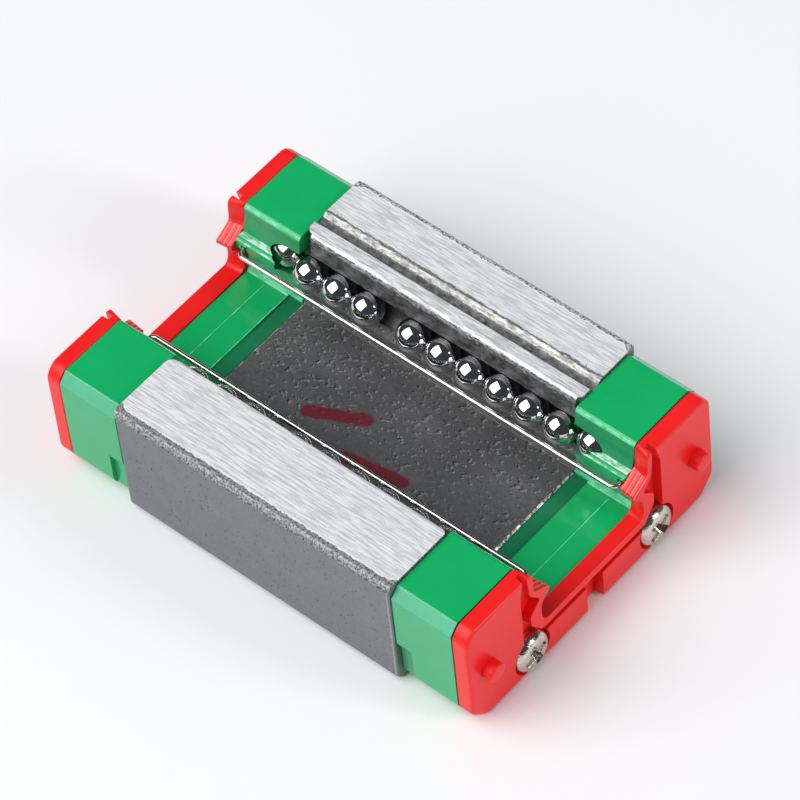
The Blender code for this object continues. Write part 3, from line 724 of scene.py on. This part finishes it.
def place_copy(master, name, move, half_turn=False, spin=0.0):
    """A copy of a piece with its own mesh, put at its place in the mesh."""
    copy = master.copy()
    copy.data = master.data.copy()
    rename(copy, name)
    scene.collection.objects.link(copy)
    copy.matrix_world = (Matrix.Translation(move)
                         @ Matrix.Rotation(pi if half_turn else 0, 4, "Z")
                         @ Matrix.Rotation(spin, 4, "X"))
    make_active(copy)
    apply_transform()
    return copy


screws = {}
for side, leg, end, sx, spin in (("near", -1, "front", 1, 20), ("far", 1, "front", 1, 38),
                                 ("near", -1, "rear", -1, 5), ("far", 1, "rear", -1, 60)):
    screws[f"{side}_{end}"] = place_copy(
        master_screw, f"{side}_{end}_screw_fine",
        (sx * SCREW_SEAT, leg * SCREW_Y, SCREW_Z), sx < 0, radians(spin))
    shade(screws[f"{side}_{end}"], 35)
bpy.data.objects.remove(master_screw, do_unlink=True)
print("screws:", len(screws))

# %% [markdown]
# The balls are hardened and polished. A ball made from a cube has no poles, so its
# highlights stay clean: the cube is subdivided, pushed out to a sphere and scaled
# to size. A fine ball serves the rows and turns, a coarser one the return bores,
# and every ball of the frame is a copy of one of them, put at its centre.

# %% Balls
def polish_ball(name, cuts):
    deselect()
    bpy.ops.mesh.primitive_cube_add(size=2 * BALL_RADIUS, location=(0, 0, 0))
    ball = name_active(name)
    edit_all()
    bpy.ops.mesh.subdivide(number_cuts=cuts)
    bpy.ops.transform.tosphere(value=1)
    leave_edit()
    radius = max(v.co.length for v in ball.data.vertices)
    ball.scale = [BALL_RADIUS / radius] * 3
    apply_transform()
    bpy.ops.object.shade_smooth()
    return ball


shown_ball = polish_ball("shown_ball", 15)
hidden_ball = polish_ball("hidden_ball", 7)
balls = {}
for node in nodes:
    if "_ball_" in node and "wire" not in node:
        low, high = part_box(node)
        centre = (Vector(low) + Vector(high)) / 2
        master = hidden_ball if "return" in node else shown_ball
        balls[node] = place_copy(master, node + "_fine", centre)
bpy.data.objects.remove(shown_ball, do_unlink=True)
bpy.data.objects.remove(hidden_ball, do_unlink=True)
print("balls:", len(balls))

# %% [markdown]
# Several finishes share the same small effects: fine dots, streaks along one
# direction, and soft clouds. Each effect is a shader node group with named inputs
# and outputs, so that every material can place it with its own values. The small
# class below adds nodes to a tree, whether the tree is a group's or a material's.

# %% Tools for node trees
class Nodes:
    """A node tree, with short ways to add and join the nodes that looks need."""

    def __init__(self, tree, place=None):
        self.tree = tree
        self.place = place

    def set(self, socket, value):
        """Link a socket to another one, or give it a constant value."""
        if isinstance(value, bpy.types.NodeSocket):
            self.tree.links.new(value, socket)
        else:
            socket.default_value = value

    def add(self, kind, inputs=None, **settings):
        node = self.tree.nodes.new("ShaderNode" + kind)
        for key, value in settings.items():
            setattr(node, key, value)
        for key, value in (inputs or {}).items():
            self.set(node.inputs[key], value)
        return node

    def math(self, operation, *values, clamp=False):
        return self.add("Math", dict(enumerate(values)), operation=operation,
                        use_clamp=clamp).outputs[0]

    def times(self, first, second, clamp=False):
        return self.math("MULTIPLY", first, second, clamp=clamp)

    def plus(self, first, second, clamp=False):
        return self.math("ADD", first, second, clamp=clamp)

    def minus(self, first, second, clamp=False):
        return self.math("SUBTRACT", first, second, clamp=clamp)

    def split(self):
        return tuple(self.add("SeparateXYZ", {0: self.place}).outputs)

    def join(self, *values):
        return self.add("CombineXYZ", dict(enumerate(values))).outputs[0]

    def noise(self, place, scale, detail, roughness=0.5):
        return self.add("TexNoise", {"Vector": place, "Scale": scale, "Detail": detail,
                                     "Roughness": roughness}).outputs["Fac"]

    def contrast(self, value, strength):
        """Spread a value away from one half."""
        return self.plus(self.times(self.minus(value, 0.5), strength), 0.5, clamp=True)

    def mask(self, group, place=None, **values):
        node = self.add("Group", node_tree=group)
        values["Vector"] = self.place if place is None else place
        for key, value in values.items():
            self.set(node.inputs[key], value)
        return node.outputs["Mask"]

    def mix(self, share, first, second):
        """Blend two colours; a constant one is a tuple of three."""
        mix = self.add("Mix", data_type="RGBA")
        for i, value in ((0, share), (6, first), (7, second)):
            self.set(mix.inputs[i], (*value, 1) if isinstance(value, tuple) else value)
        return mix.outputs[2]

    def spread(self, share, low, high, start=0.0, end=1.0):
        return self.add("MapRange", {"Value": share, "From Min": start, "From Max": end,
                                     "To Min": low, "To Max": high}).outputs[0]


def new_effect(name, **inputs):
    """A group that turns a place into a mask; an input of None is a vector."""
    tree = bpy.data.node_groups.new(name, "ShaderNodeTree")
    for label, value in {"Vector": None, **inputs}.items():
        kind = "NodeSocketVector" if value is None else "NodeSocketFloat"
        socket = tree.interface.new_socket(label, in_out="INPUT", socket_type=kind)
        if value is not None:
            socket.default_value = value
    tree.interface.new_socket("Mask", in_out="OUTPUT", socket_type="NodeSocketFloat")
    given = tree.nodes.new("NodeGroupInput").outputs
    result = tree.nodes.new("NodeGroupOutput").inputs["Mask"]
    return Nodes(tree, given["Vector"]), given, result


# %% Streaks: fine scratches along one axis
def build_streaks():
    """Noise squeezed across an axis, so that it runs in long thin lines."""
    group, given, result = new_effect("streaks", Scale=9000.0, Length=30.0, Contrast=2.0)
    x, y, z = group.split()
    drawn = group.join(group.math("DIVIDE", x, given["Length"]), y, z)
    noise = group.noise(drawn, given["Scale"], 3.0, 0.65)
    group.set(result, group.contrast(noise, given["Contrast"]))
    return group.tree


streaks = build_streaks()

# %% Dots: small pits or specks
def build_dots():
    """Round specks at the points of a cell pattern; Amount is the share that shows."""
    group, given, result = new_effect("dots", Scale=3000.0, Amount=0.5, Size=0.3)
    cells = group.add("TexVoronoi", {"Vector": group.place, "Scale": given["Scale"]}).outputs
    chance = group.add("SeparateColor", {0: cells["Color"]}).outputs[0]
    shown = group.math("LESS_THAN", chance, given["Amount"])
    near = group.minus(given["Size"], cells["Distance"])
    group.set(result, group.times(group.times(near, 8.0, clamp=True), shown))
    return group.tree


dots = build_dots()

# %% Clouds: slow changes of tone
def build_clouds():
    group, given, result = new_effect("clouds", Scale=300.0, Contrast=1.5)
    noise = group.noise(group.place, given["Scale"], 4.0, 0.6)
    group.set(result, group.contrast(noise, given["Contrast"]))
    return group.tree


clouds = build_clouds()
print("shared effects:", streaks.name, dots.name, clouds.name)

# %% A border that wanders
def build_border():
    """A mask that starts where |y| passes a line, with a ragged edge."""
    group, given, result = new_effect("ragged_border", Line=0.0, Wander=0.0003, Stretch=1.0,
                                      Scale=3200.0)
    x, y, _ = group.split()
    distance = group.minus(group.math("ABSOLUTE", y), given["Line"])
    drawn = group.join(group.math("DIVIDE", x, given["Stretch"]), y)
    noise = group.noise(drawn, given["Scale"], 4.0, 0.75)
    shift = group.times(group.minus(noise, 0.5), given["Wander"])
    edge = group.times(group.plus(distance, shift), 30000.0)
    group.set(result, group.plus(edge, 0.5, clamp=True))
    return group.tree


ragged_border = build_border()
print("border effect:", ragged_border.name)

# %% Tools for materials
class Look(Nodes):
    def __init__(self, name, **sockets):
        self.material = bpy.data.materials.new(name)
        self.material.use_nodes = True
        super().__init__(self.material.node_tree)
        self.shader = self.tree.nodes["Principled BSDF"].inputs
        for key, value in sockets.items():
            self.shader[key.replace("_", " ")].default_value = value
        self.place = self.add("TexCoord").outputs["Object"]

    def border(self, line, place=None, wander=0.3, **values):
        return self.mask(ragged_border, place, Line=line * MM, Wander=wander * MM, **values)

    def band(self, line, width, place=None, wander=0.3, **values):
        """The thin band between two borders that wander together."""
        return self.minus(self.border(line, place, wander, **values),
                          self.border(line + width, place, wander, **values), clamp=True)

    def finish(self, colour, roughness=None, bump=None):
        """Roughness is (mask, low, high), bump is (height, strength, depth in mm)."""
        self.set(self.shader["Base Color"], colour)
        if roughness:
            self.set(self.shader["Roughness"], self.spread(*roughness))
        if bump:
            height, strength, depth = bump
            raised = self.add("Bump", {"Height": height, "Strength": strength,
                                       "Distance": depth * MM})
            self.set(self.shader["Normal"], raised.outputs[0])
        return self.material


WHITE = (1.0, 1.0, 1.0)


def grey(value):
    return (value, value, value)


# %% [markdown]
# The saddle shows several finishes on one block. Its lands are ground along X and
# stay bright, with a ragged dark skin where the grinding stopped. Its outer sides
# are matte grey, and the channel between the legs is left dark and pimpled.

# %% Ground lands
def ground_land(name, outer_line, skin_light, groove_line=None, low=(0.62, 0.63, 0.66)):
    """Bright ground steel with a ragged border of dark skin along its outer edge and a thin
    painted highlight just inside that border.
    """
    look = Look(name, Metallic=0.25)
    lines = look.mask(streaks, Scale=7500.0, Length=11.0, Contrast=5.0)
    broad = look.mask(streaks, Scale=1500.0, Length=8.0, Contrast=3.0)
    colour = look.mix(look.times(broad, 0.22), look.mix(lines, low, WHITE), low)
    fine = look.mask(clouds, Scale=8000.0, Contrast=6.0)
    skin = look.mix(fine, grey(0.11), skin_light)
    x, y, z = look.split()
    past_end = look.minus(look.math("ABSOLUTE", x), 8.9 * MM)
    corner = look.times(look.math("MAXIMUM", past_end, 0.0), 0.6)
    rounded = look.join(x, look.plus(look.math("ABSOLUTE", y), corner), z)
    glint = look.band(outer_line - 0.07, 0.07, rounded, 0.4)
    colour = look.mix(glint, colour, WHITE)
    colour = look.mix(look.border(outer_line, rounded, 0.4), colour, skin)
    if groove_line:
        # Beside the groove, a pale streaky band is a painted highlight of the groove's lit outer
        # slope.
        painted_highlight = look.mask(streaks, Scale=4200.0, Length=2.4, Contrast=4.0)
        pale = look.mix(painted_highlight, (0.26, 0.26, 0.24), (0.86, 0.86, 0.83))
        colour = look.mix(look.band(groove_line - 0.50, 0.60, None, 0.4), colour, pale)
        torn = look.band(groove_line + 0.06, 0.12, None, 0.5, Stretch=1.8)
        colour = look.mix(look.times(torn, 0.85), colour, grey(0.10))
    return look.finish(colour, (lines, 0.50, 0.38), (lines, 0.8, 0.010))


# %% Matte sides
def matte_side():
    look = Look("matte_side", Metallic=0.8)
    specks = look.mask(dots, Scale=3800.0, Amount=0.34, Size=0.27)
    tone = look.mask(clouds, Scale=700.0, Contrast=2.0)
    fine = look.mask(clouds, Scale=5000.0, Contrast=2.0)
    base = look.mix(tone, (0.235, 0.245, 0.262), (0.275, 0.285, 0.302))
    grained = look.mix(look.times(fine, 0.35), base, (0.185, 0.19, 0.20))
    x, _, z = look.split()
    # A thin light band close to each end of the block is a painted highlight on the vertical
    # corners.
    painted_highlight = look.band(9.30, 0.07, look.join(z, x))
    grained = look.mix(painted_highlight, grained, (0.44, 0.44, 0.45))
    edge = look.mix(look.mask(clouds, Scale=9000.0, Contrast=5.0), (0.09, 0.09, 0.092),
                    (0.48, 0.48, 0.49))
    coloured = look.mix(look.border(7.68, look.join(x, z)), grained, edge)
    return look.finish(look.mix(specks, coloured, (0.125, 0.12, 0.12)), (fine, 0.50, 0.64),
                       (fine, 0.25, 0.01))


# %% Dabs of paint
def build_dab():
    """A soft stroke between two points of the XY plane, with a brushed edge."""
    group, given, result = new_effect("paint_dab", Start=None, End=None, Width=0.0005)

    def vectors(operation, *values, **more):
        return group.add("VectorMath", {**dict(enumerate(values)), **more},
                         operation=operation).outputs

    flat = vectors("MULTIPLY", group.place, (1, 1, 0))[0]
    here = vectors("SUBTRACT", flat, given["Start"])[0]
    stroke = vectors("SUBTRACT", given["End"], given["Start"])[0]
    share = group.math("DIVIDE", vectors("DOT_PRODUCT", here, stroke)["Value"],
                       vectors("DOT_PRODUCT", stroke, stroke)["Value"], clamp=True)
    nearest = vectors("SCALE", stroke, Scale=share)[0]
    gap = vectors("LENGTH", vectors("SUBTRACT", here, nearest)[0])["Value"]
    rough = group.times(group.minus(group.noise(group.place, 2200.0, 3.0), 0.5), 0.0003)
    inside = group.minus(group.plus(given["Width"], rough), gap)
    group.set(result, group.times(inside, 6500.0, clamp=True))
    return group.tree


paint_dab = build_dab()
print("paint effect:", paint_dab.name)

# %% Dark channel with its pimples
PAINT_STROKES = [((-4.4, -0.9), (-1.5, 0.5), 0.50), ((-0.9, -2.1), (2.7, -1.5), 0.48)]
GLINT_SHIFT = -0.07 * MM


def pimples(look, shift):
    """Small raised spots; the same ones, shifted, give the places where their lit sides are
    painted.
    """
    moved = look.add("Mapping", {"Vector": look.place, "Location": (shift, 0, 0),
                                 "Scale": (0.7, 1, 1)}).outputs[0]
    noise = look.mask(streaks, moved, Scale=3900.0, Length=1.0, Contrast=1.0)
    return look.times(look.minus(noise, 0.555), 9.0, clamp=True)


def dark_channel():
    look = Look("dark_channel", Metallic=0.35)
    tone = look.mask(clouds, Scale=300.0, Contrast=2.2)
    colour = look.mix(tone, (0.108, 0.108, 0.111), (0.178, 0.178, 0.180))
    pimple_height_and_shade, lit_sides = pimples(look, 0.0), pimples(look, GLINT_SHIFT)
    x, y, _ = look.split()
    far_side = look.spread(y, 0.0, 0.8, -0.5 * MM, 2.5 * MM)
    patches = look.mask(clouds, Scale=420.0, Contrast=5.0)
    # The pimples are painted lighter on their lit sides and darker on their other sides: a
    # painted highlight and painted shade.
    painted_pimple_shading = look.times(look.minus(lit_sides, pimple_height_and_shade),
                        look.plus(look.plus(patches, far_side), 0.15, clamp=True))
    colour = look.mix(look.times(painted_pimple_shading, 0.9, clamp=True), colour, (0.50, 0.50, 0.51))
    colour = look.mix(look.times(painted_pimple_shading, -1.0, clamp=True), colour, (0.012, 0.012, 0.013))
    grain = look.mask(streaks, Scale=6000.0, Length=2.5, Contrast=3.0)
    colour = look.mix(look.times(grain, 0.30), colour, (0.035, 0.035, 0.036))
    for (x0, y0), (x1, y1), width in PAINT_STROKES:
        dab = look.mask(paint_dab, Start=(x0 * MM, y0 * MM, 0), End=(x1 * MM, y1 * MM, 0),
                        Width=width * MM)
        colour = look.mix(look.times(dab, 0.85), colour, (0.21, 0.008, 0.024))
    # A white ragged line on the floor beside each end is a bright burr with a painted highlight
    # on it, stronger at the front end and towards the near side.
    burr_and_highlight = look.border(9.38, look.join(y, x), 0.6)
    front = look.times(x, 100.0, clamp=True)
    fade = look.spread(y, 1.2, 0.0, 0.5 * MM, 3.2 * MM)
    shown = look.times(look.times(burr_and_highlight, fade, clamp=True), look.plus(front, 0.25, clamp=True))
    return look.finish(look.mix(shown, colour, WHITE), (tone, 0.42, 0.32),
                       (pimple_height_and_shade, -0.7, 0.03))


# %% Walls above the balls, and the ball grooves
def dark_wall(name, torn_line):
    """A dark wall whose upper edge is torn and bright where the land was ground."""
    look = Look(name, Metallic=0.5, Roughness=0.5)
    blotches = look.mask(clouds, Scale=2600.0, Contrast=4.0)
    base = look.mix(blotches, (0.025, 0.025, 0.026), grey(0.14))
    x, _, z = look.split()
    torn = look.border(torn_line, look.join(x, z), 0.9, Stretch=2.0, Scale=2600.0)
    chips = look.mask(streaks, Scale=9000.0, Length=3.0, Contrast=5.0)
    base = look.mix(look.times(chips, 0.22), base, (0.42, 0.42, 0.43))
    bright = look.mix(chips, grey(0.10), (0.62, 0.62, 0.63))
    return look.finish(look.mix(torn, base, bright), None, (blotches, 0.4, 0.015))


def ground_race():
    look = Look("ground_race", Metallic=0.6)
    lines = look.mask(streaks, Scale=7000.0, Length=30.0, Contrast=2.0)
    return look.finish(look.mix(lines, (0.07, 0.07, 0.072), (0.14, 0.14, 0.142)),
                       (lines, 0.45, 0.32))


def broken_edge(name, scale, light):
    """The bright burr where a tool has broken an edge."""
    look = Look(name, Metallic=0.3, Roughness=0.4)
    chips = look.mask(clouds, Scale=scale, Contrast=7.0)
    return look.finish(look.mix(chips, grey(0.08), light), None, (chips, 0.8, 0.02))


# %% Put each finish on its faces
ANY = (-99.0, 99.0)


def zone(y=ANY, z=ANY, x_turn=2.0, up=ANY):
    """A test for faces: |y| and z of the centre in mm, |x| and z of the normal."""
    def inside(centre, normal):
        return (y[0] * MM < abs(centre.y) < y[1] * MM and z[0] * MM < centre.z < z[1] * MM
                and abs(normal.x) < x_turn and up[0] < normal.z < up[1])
    return inside


def finish_faces(piece, material, *tests):
    """Give the faces that pass one of the tests a material of their own."""
    piece.data.materials.append(material)
    index = len(piece.data.materials) - 1
    pick(piece, lambda centre, normal: any(test(centre, normal) for test in tests), "FACE")
    piece.active_material_index = index
    bpy.ops.object.material_slot_assign()
    leave_edit()


on_land = zone((5.2, 9.99), (7.8, 99.0), up=(0.3, 2.0))
saddle.data.materials.append(matte_side())
finish_faces(saddle, dark_channel(), zone((-1.0, 5.2), (2.6, 4.5), 0.5))
finish_faces(saddle, ground_race(), zone((3.7, 5.9), (4.4, 6.6), 0.5))
finish_faces(saddle, ground_land("ground_foot", 12.0, (0.50, 0.50, 0.51)),
             zone(z=(-99.0, 0.01), up=(-2.0, -0.9)))
finish_faces(saddle, ground_land("near_land", 9.46, (0.42, 0.42, 0.43)),
             lambda c, n: c.y < 0 and on_land(c, n))
finish_faces(saddle, ground_land("far_land", 9.60, (0.72, 0.72, 0.73), 7.06),
             lambda c, n: c.y > 0 and on_land(c, n))
finish_faces(saddle, ground_land("far_strip", 9.74, (0.50, 0.50, 0.51), None, (0.50, 0.51, 0.53)),
             lambda c, n: 0 < c.y < 6.3 * MM and on_land(c, n))
finish_faces(saddle, dark_wall("dark_wall", 7.62), zone((5.0, 5.35), (6.4, 7.95), 0.5))
finish_faces(saddle, dark_wall("dark_groove", 8.4),
             lambda c, n: 6.2 * MM < c.y < 6.82 * MM and 7.5 * MM < c.z < 7.99 * MM)
# The small bevel at each end of the channel floor gets bright chips: a burr with a painted
# highlight.
finish_faces(saddle, broken_edge("burr_and_highlight", 3500.0, WHITE),
             lambda c, n: abs(c.x) > BLOCK_END - 0.09 * MM and 2.65 * MM < c.z < 2.76 * MM
             and abs(n.z) < 0.95)
finish_faces(saddle, broken_edge("race_edge", 1500.0, grey(0.85)),
             lambda c, n: on_race_edge(c) and abs(n.x) < 0.5)
print("saddle finishes:", [m.name for m in saddle.data.materials])

# %% [markdown]
# The plastics are glossy and strongly coloured. A moulded surface is never quite
# flat, so a slow cloud moves the gloss and a very small bump breaks reflections.

# %% Moulded plastics
def moulded(name, dark, light, roughness, grain, **sockets):
    look = Look(name, **sockets)
    tone = look.mask(clouds, Scale=260.0, Contrast=1.4)
    fine = look.mask(clouds, Scale=6000.0, Contrast=1.5)
    look.finish(look.mix(tone, dark, light), (tone, roughness - 0.04, roughness + 0.06),
                (fine, grain, 0.01))
    return look


def mottled(name, base, pale, share):
    """Moulded plastic streaked with a pale painted highlight, used on ledges, bands and edges."""
    look = moulded(name, base, base, 0.3, 0.2)
    painted_sheen = look.mask(streaks, Scale=2600.0, Length=1.6, Contrast=6.0)
    return look.finish(look.mix(look.times(painted_sheen, share), base, pale))


def ribbed(name, base, pale):
    """The lip's ribs: low ridges across X with a painted highlight on each crest."""
    look = moulded(name, base, base, 0.2, 0.2)
    wave = look.math("SINE", look.times(look.split()[0], 21000.0))
    painted_crest_highlight = look.times(look.minus(wave, 0.55), 1.2, clamp=True)
    return look.finish(look.mix(painted_crest_highlight, base, pale), None, (wave, 0.35, 0.03))


# Besides the plain green and red, the table holds copies of the same green painted darker or
# paler for single faces: painted shade, painted reflection and painted highlight.
plastics = {name: moulded(name, *values, Specular_IOR_Level=gloss).material
            for name, gloss, *values in (
                ("green_plastic", 0.68, (0.004, 0.38, 0.105), (0.006, 0.45, 0.13), 0.15, 0.08),
                ("painted_side_shading", 0.64, (0.004, 0.36, 0.125), (0.006, 0.41, 0.15), 0.17, 0.12),
                ("painted_chamfer_highlight", 0.66, (0.04, 0.40, 0.20), (0.07, 0.46, 0.25), 0.22, 0.2),
                ("red_plastic", 0.32, (0.80, 0.010, 0.010), (0.94, 0.014, 0.013), 0.30, 0.16),
                ("painted_recess_shade", 0.5, (0.004, 0.12, 0.055), (0.004, 0.23, 0.085), 0.3, 0.1),
                ("painted_step_shade", 0.5, (0.02, 0.24, 0.10), (0.03, 0.30, 0.13), 0.3, 0.1),
                ("painted_wall_shade", 0.5, (0.004, 0.25, 0.08), (0.012, 0.34, 0.13), 0.25, 0.2))}
for piece in (front_cap, rear_cap, *guides.values()):
    piece.data.materials.append(plastics["green_plastic"])
for piece in (front_seal, rear_seal):
    piece.data.materials.append(plastics["red_plastic"])
print("plastics:", len(plastics))

# %% Greens and reds of single faces: painted highlights, reflections and shade
painted_ledge_highlight = mottled("painted_ledge_highlight", (0.09, 0.55, 0.28), (0.74, 0.95, 0.84), 0.95)
painted_band_reflection = mottled("painted_band_reflection", (0.03, 0.34, 0.15), (0.20, 0.58, 0.38), 0.5)
painted_edge_highlight = mottled("painted_edge_highlight", (0.05, 0.56, 0.24), (0.22, 0.80, 0.46), 0.8)
red_ribs = ribbed("red_ribs", (0.86, 0.012, 0.012), (1.0, 0.30, 0.30))
on_strip = zone((-1.0, 4.6), (2.62, 2.64), up=(0.9, 2.0))
for cap in (front_cap, rear_cap):
    # The floor of the shallow recess beside the steel is painted a darker green: painted shade in
    # the recess.
    finish_faces(cap, plastics["painted_recess_shade"],
                 lambda c, n: abs(c.x) < STRIP_END and on_strip(c, n))
    # The inner walls under the roof are painted a darker green: painted shade.
    finish_faces(cap, plastics["painted_wall_shade"], zone((4.5, 4.88), (5.95, 7.44), 0.3))
    # The top faces of the ledges are painted pale: a painted highlight.
    finish_faces(cap, painted_ledge_highlight, zone((4.14, 4.6), (5.8, 6.02), 0.3, (0.8, 2.0)),
                 zone((-1.0, 4.05), (5.8, 6.02), 0.3, (0.8, 2.0)))
    # The walls below the ledge are painted paler: a painted reflection of the bright
    # surroundings.
    finish_faces(cap, painted_band_reflection, zone((3.9, 4.7), (3.0, 5.2), 0.5))
    # Thin pale lines on the floor ridges, the lowest wall chamfer, the rear cap's end bevel and
    # the round under the roof are painted highlights.
    finish_faces(cap, painted_edge_highlight, zone(z=(2.76, 2.78), x_turn=0.3),
                 zone((4.36, 4.62), (2.76, 3.04), 0.3, (0.2, 0.97)),
                 lambda c, n: c.x < 0.05 * MM - CAP_END and c.z > 7.7 * MM and n.x < -0.3
                 and n.z > 0.3, zone((-1.0, 5.2), (7.4, 99.0), 0.3, (0.3, 0.75)))
    # The outer sides are painted a little darker and bluer than the top: painted shade with a
    # painted bluish reflection.
    finish_faces(cap, plastics["painted_side_shading"],
                 lambda c, n: abs(c.y) > 9.5 * MM and abs(n.y) > 0.9)
    # The outer top chamfers are painted a paler green: a painted highlight.
    finish_faces(cap, plastics["painted_chamfer_highlight"], zone((8.6, 99.0), (6.5, 99.0), 0.3, (0.3, 0.9)))
    # On the front cap only, the side step's recessed face is painted a darker green: painted
    # shade.
    finish_faces(cap, plastics["painted_step_shade"], lambda c, n: 9.5 * MM < abs(c.y) < 9.6 * MM
                 and c.z < 3.3 * MM and abs(n.y) > 0.9 and c.x > 0)
for seal in (front_seal, rear_seal):
    finish_faces(seal, red_ribs, zone((3.2, 4.6), (5.4, 6.7), 0.7, (0.2, 2.0)))
print("cap finishes:", len(front_cap.data.materials))

# %% Bright metals
def polished(name, dark, light, roughness, scale, grain=0.0):
    look = Look(name, Metallic=1.0)
    tone = look.mask(clouds, Scale=scale, Contrast=1.6)
    return look.finish(look.mix(tone, dark, light), (tone, roughness * 0.7, roughness * 1.3),
                       (tone, grain, 0.05) if grain else None)


chrome = polished("polished_balls", (0.66, 0.66, 0.68), (0.78, 0.78, 0.80), 0.09, 1500.0)
drawn_wire = polished("drawn_wire", (0.60, 0.58, 0.56), (0.74, 0.73, 0.72), 0.20, 2500.0)
nickel = polished("nickel_plate", (0.50, 0.48, 0.42), (0.88, 0.84, 0.76), 0.20, 1800.0, 0.8)
for pieces, metal in ((balls, chrome), (wires, drawn_wire), (screws, nickel)):
    for piece in pieces.values():
        piece.data.materials.append(metal)
print("metals:", chrome.name, drawn_wire.name, nickel.name)

# %% [markdown]
# Smooth shading bends the light on a large flat face next to a small round. The
# Weighted Normal modifier lets the large face decide, so that flat faces look flat
# and only the rounds shine.

# %% Flat faces that look flat
for piece in (saddle, front_cap, rear_cap, front_seal, rear_seal, *screws.values()):
    make_active(piece)
    weighted = piece.modifiers.new("flat_faces", "WEIGHTED_NORMAL")
    weighted.keep_sharp = True
    bpy.ops.object.modifier_apply(modifier="flat_faces")
print("custom normals:", saddle.data.has_custom_normals)

# %% [markdown]
# Every new piece now stands for its node of the frame and rides on the same body,
# so the ball rows still travel when a joint moves.

# %% Tie the pieces to the frame
tied = []


def stand_for(piece, node, body):
    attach(piece, body)
    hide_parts(node)
    tied.append(node)


stand_for(saddle, "steel_block", "carriage")
for end, cap, seal in (("front", front_cap, front_seal), ("rear", rear_cap, rear_seal)):
    stand_for(cap, end + "_end_cap", "carriage")
    stand_for(seal, end + "_end_seal", "carriage")
for place, guide in guides.items():
    stand_for(guide, place + "_return_guide", "carriage")
for place, screw in screws.items():
    stand_for(screw, place + "_screw", "carriage")
for side, wire in wires.items():
    stand_for(wire, side + "_ball_wire", "carriage")
for node, ball in balls.items():
    side = node.split("_")[0]
    group = {"load": "load_row", "return": "return_row"}.get(node.split("_")[1])
    body = f"{side}_{group}" if group else f"{side}_{node.split('_')[1]}_turn"
    stand_for(ball, node, body)
print("pieces tied to the frame:", len(tied))

# %% [markdown]
# A white table and two soft boxes light it. The wide main box stands at the near
# left: the balls and the top chamfers mirror it, while the flat tops mirror the
# dark room behind the carriage and keep a deep colour. The room itself gives an
# even light to matt surfaces, but stays dark in reflections.

# %% Table
deselect()
bpy.ops.mesh.primitive_plane_add(size=3.0, location=(0, 0, -0.02 * MM))
table = name_active("table")
paper = Look("white_paper", Roughness=0.9)
paper_tone = paper.mask(clouds, Scale=40.0, Contrast=0.6)
table.data.materials.append(paper.finish(
    paper.mix(paper_tone, (0.865, 0.865, 0.875), (0.885, 0.885, 0.892))))
table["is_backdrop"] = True

# %% Soft boxes and surroundings
def soft_box(name, direction, distance, size, watts):
    deselect()
    place = Vector(direction).normalized() * distance
    bpy.ops.object.light_add(type="AREA", location=place)
    lamp = bpy.context.active_object
    lamp.name = name
    lamp.data.shape = "RECTANGLE"
    lamp.data.size, lamp.data.size_y = size
    lamp.data.energy = watts
    lamp.rotation_euler = (-place).to_track_quat("-Z", "Y").to_euler()
    return lamp


key_box = soft_box("key_box", (-0.31, -0.56, 0.77), 0.60, (0.60, 0.66), 4.0)
side_box = soft_box("side_box", (0.86, 0.28, 0.43), 0.60, (0.13, 0.30), 1.1)
surround = bpy.data.worlds.new("studio")
scene.world = surround
surround.use_nodes = True
room = Nodes(surround.node_tree)
rays = room.add("LightPath").outputs
ambient = room.add("Mix", {0: rays["Is Glossy Ray"], "A": 0.34, "B": 0.05})
seen = room.add("Mix", {0: rays["Is Camera Ray"], "A": ambient.outputs[0], "B": 0.95})
background = room.tree.nodes["Background"].inputs
background["Color"].default_value = (0.95, 0.99, 1.05, 1)
room.set(background["Strength"], seen.outputs[0])
scene.view_settings.view_transform = "Standard"
print("lights:", key_box.name, side_box.name)

# %% Sizes and finish
new_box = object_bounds()
for old, new in zip(cad_box, new_box):
    print("CAD corner", [round(v / MM, 2) for v in old],
          "visual", [round(v / MM, 2) for v in new])
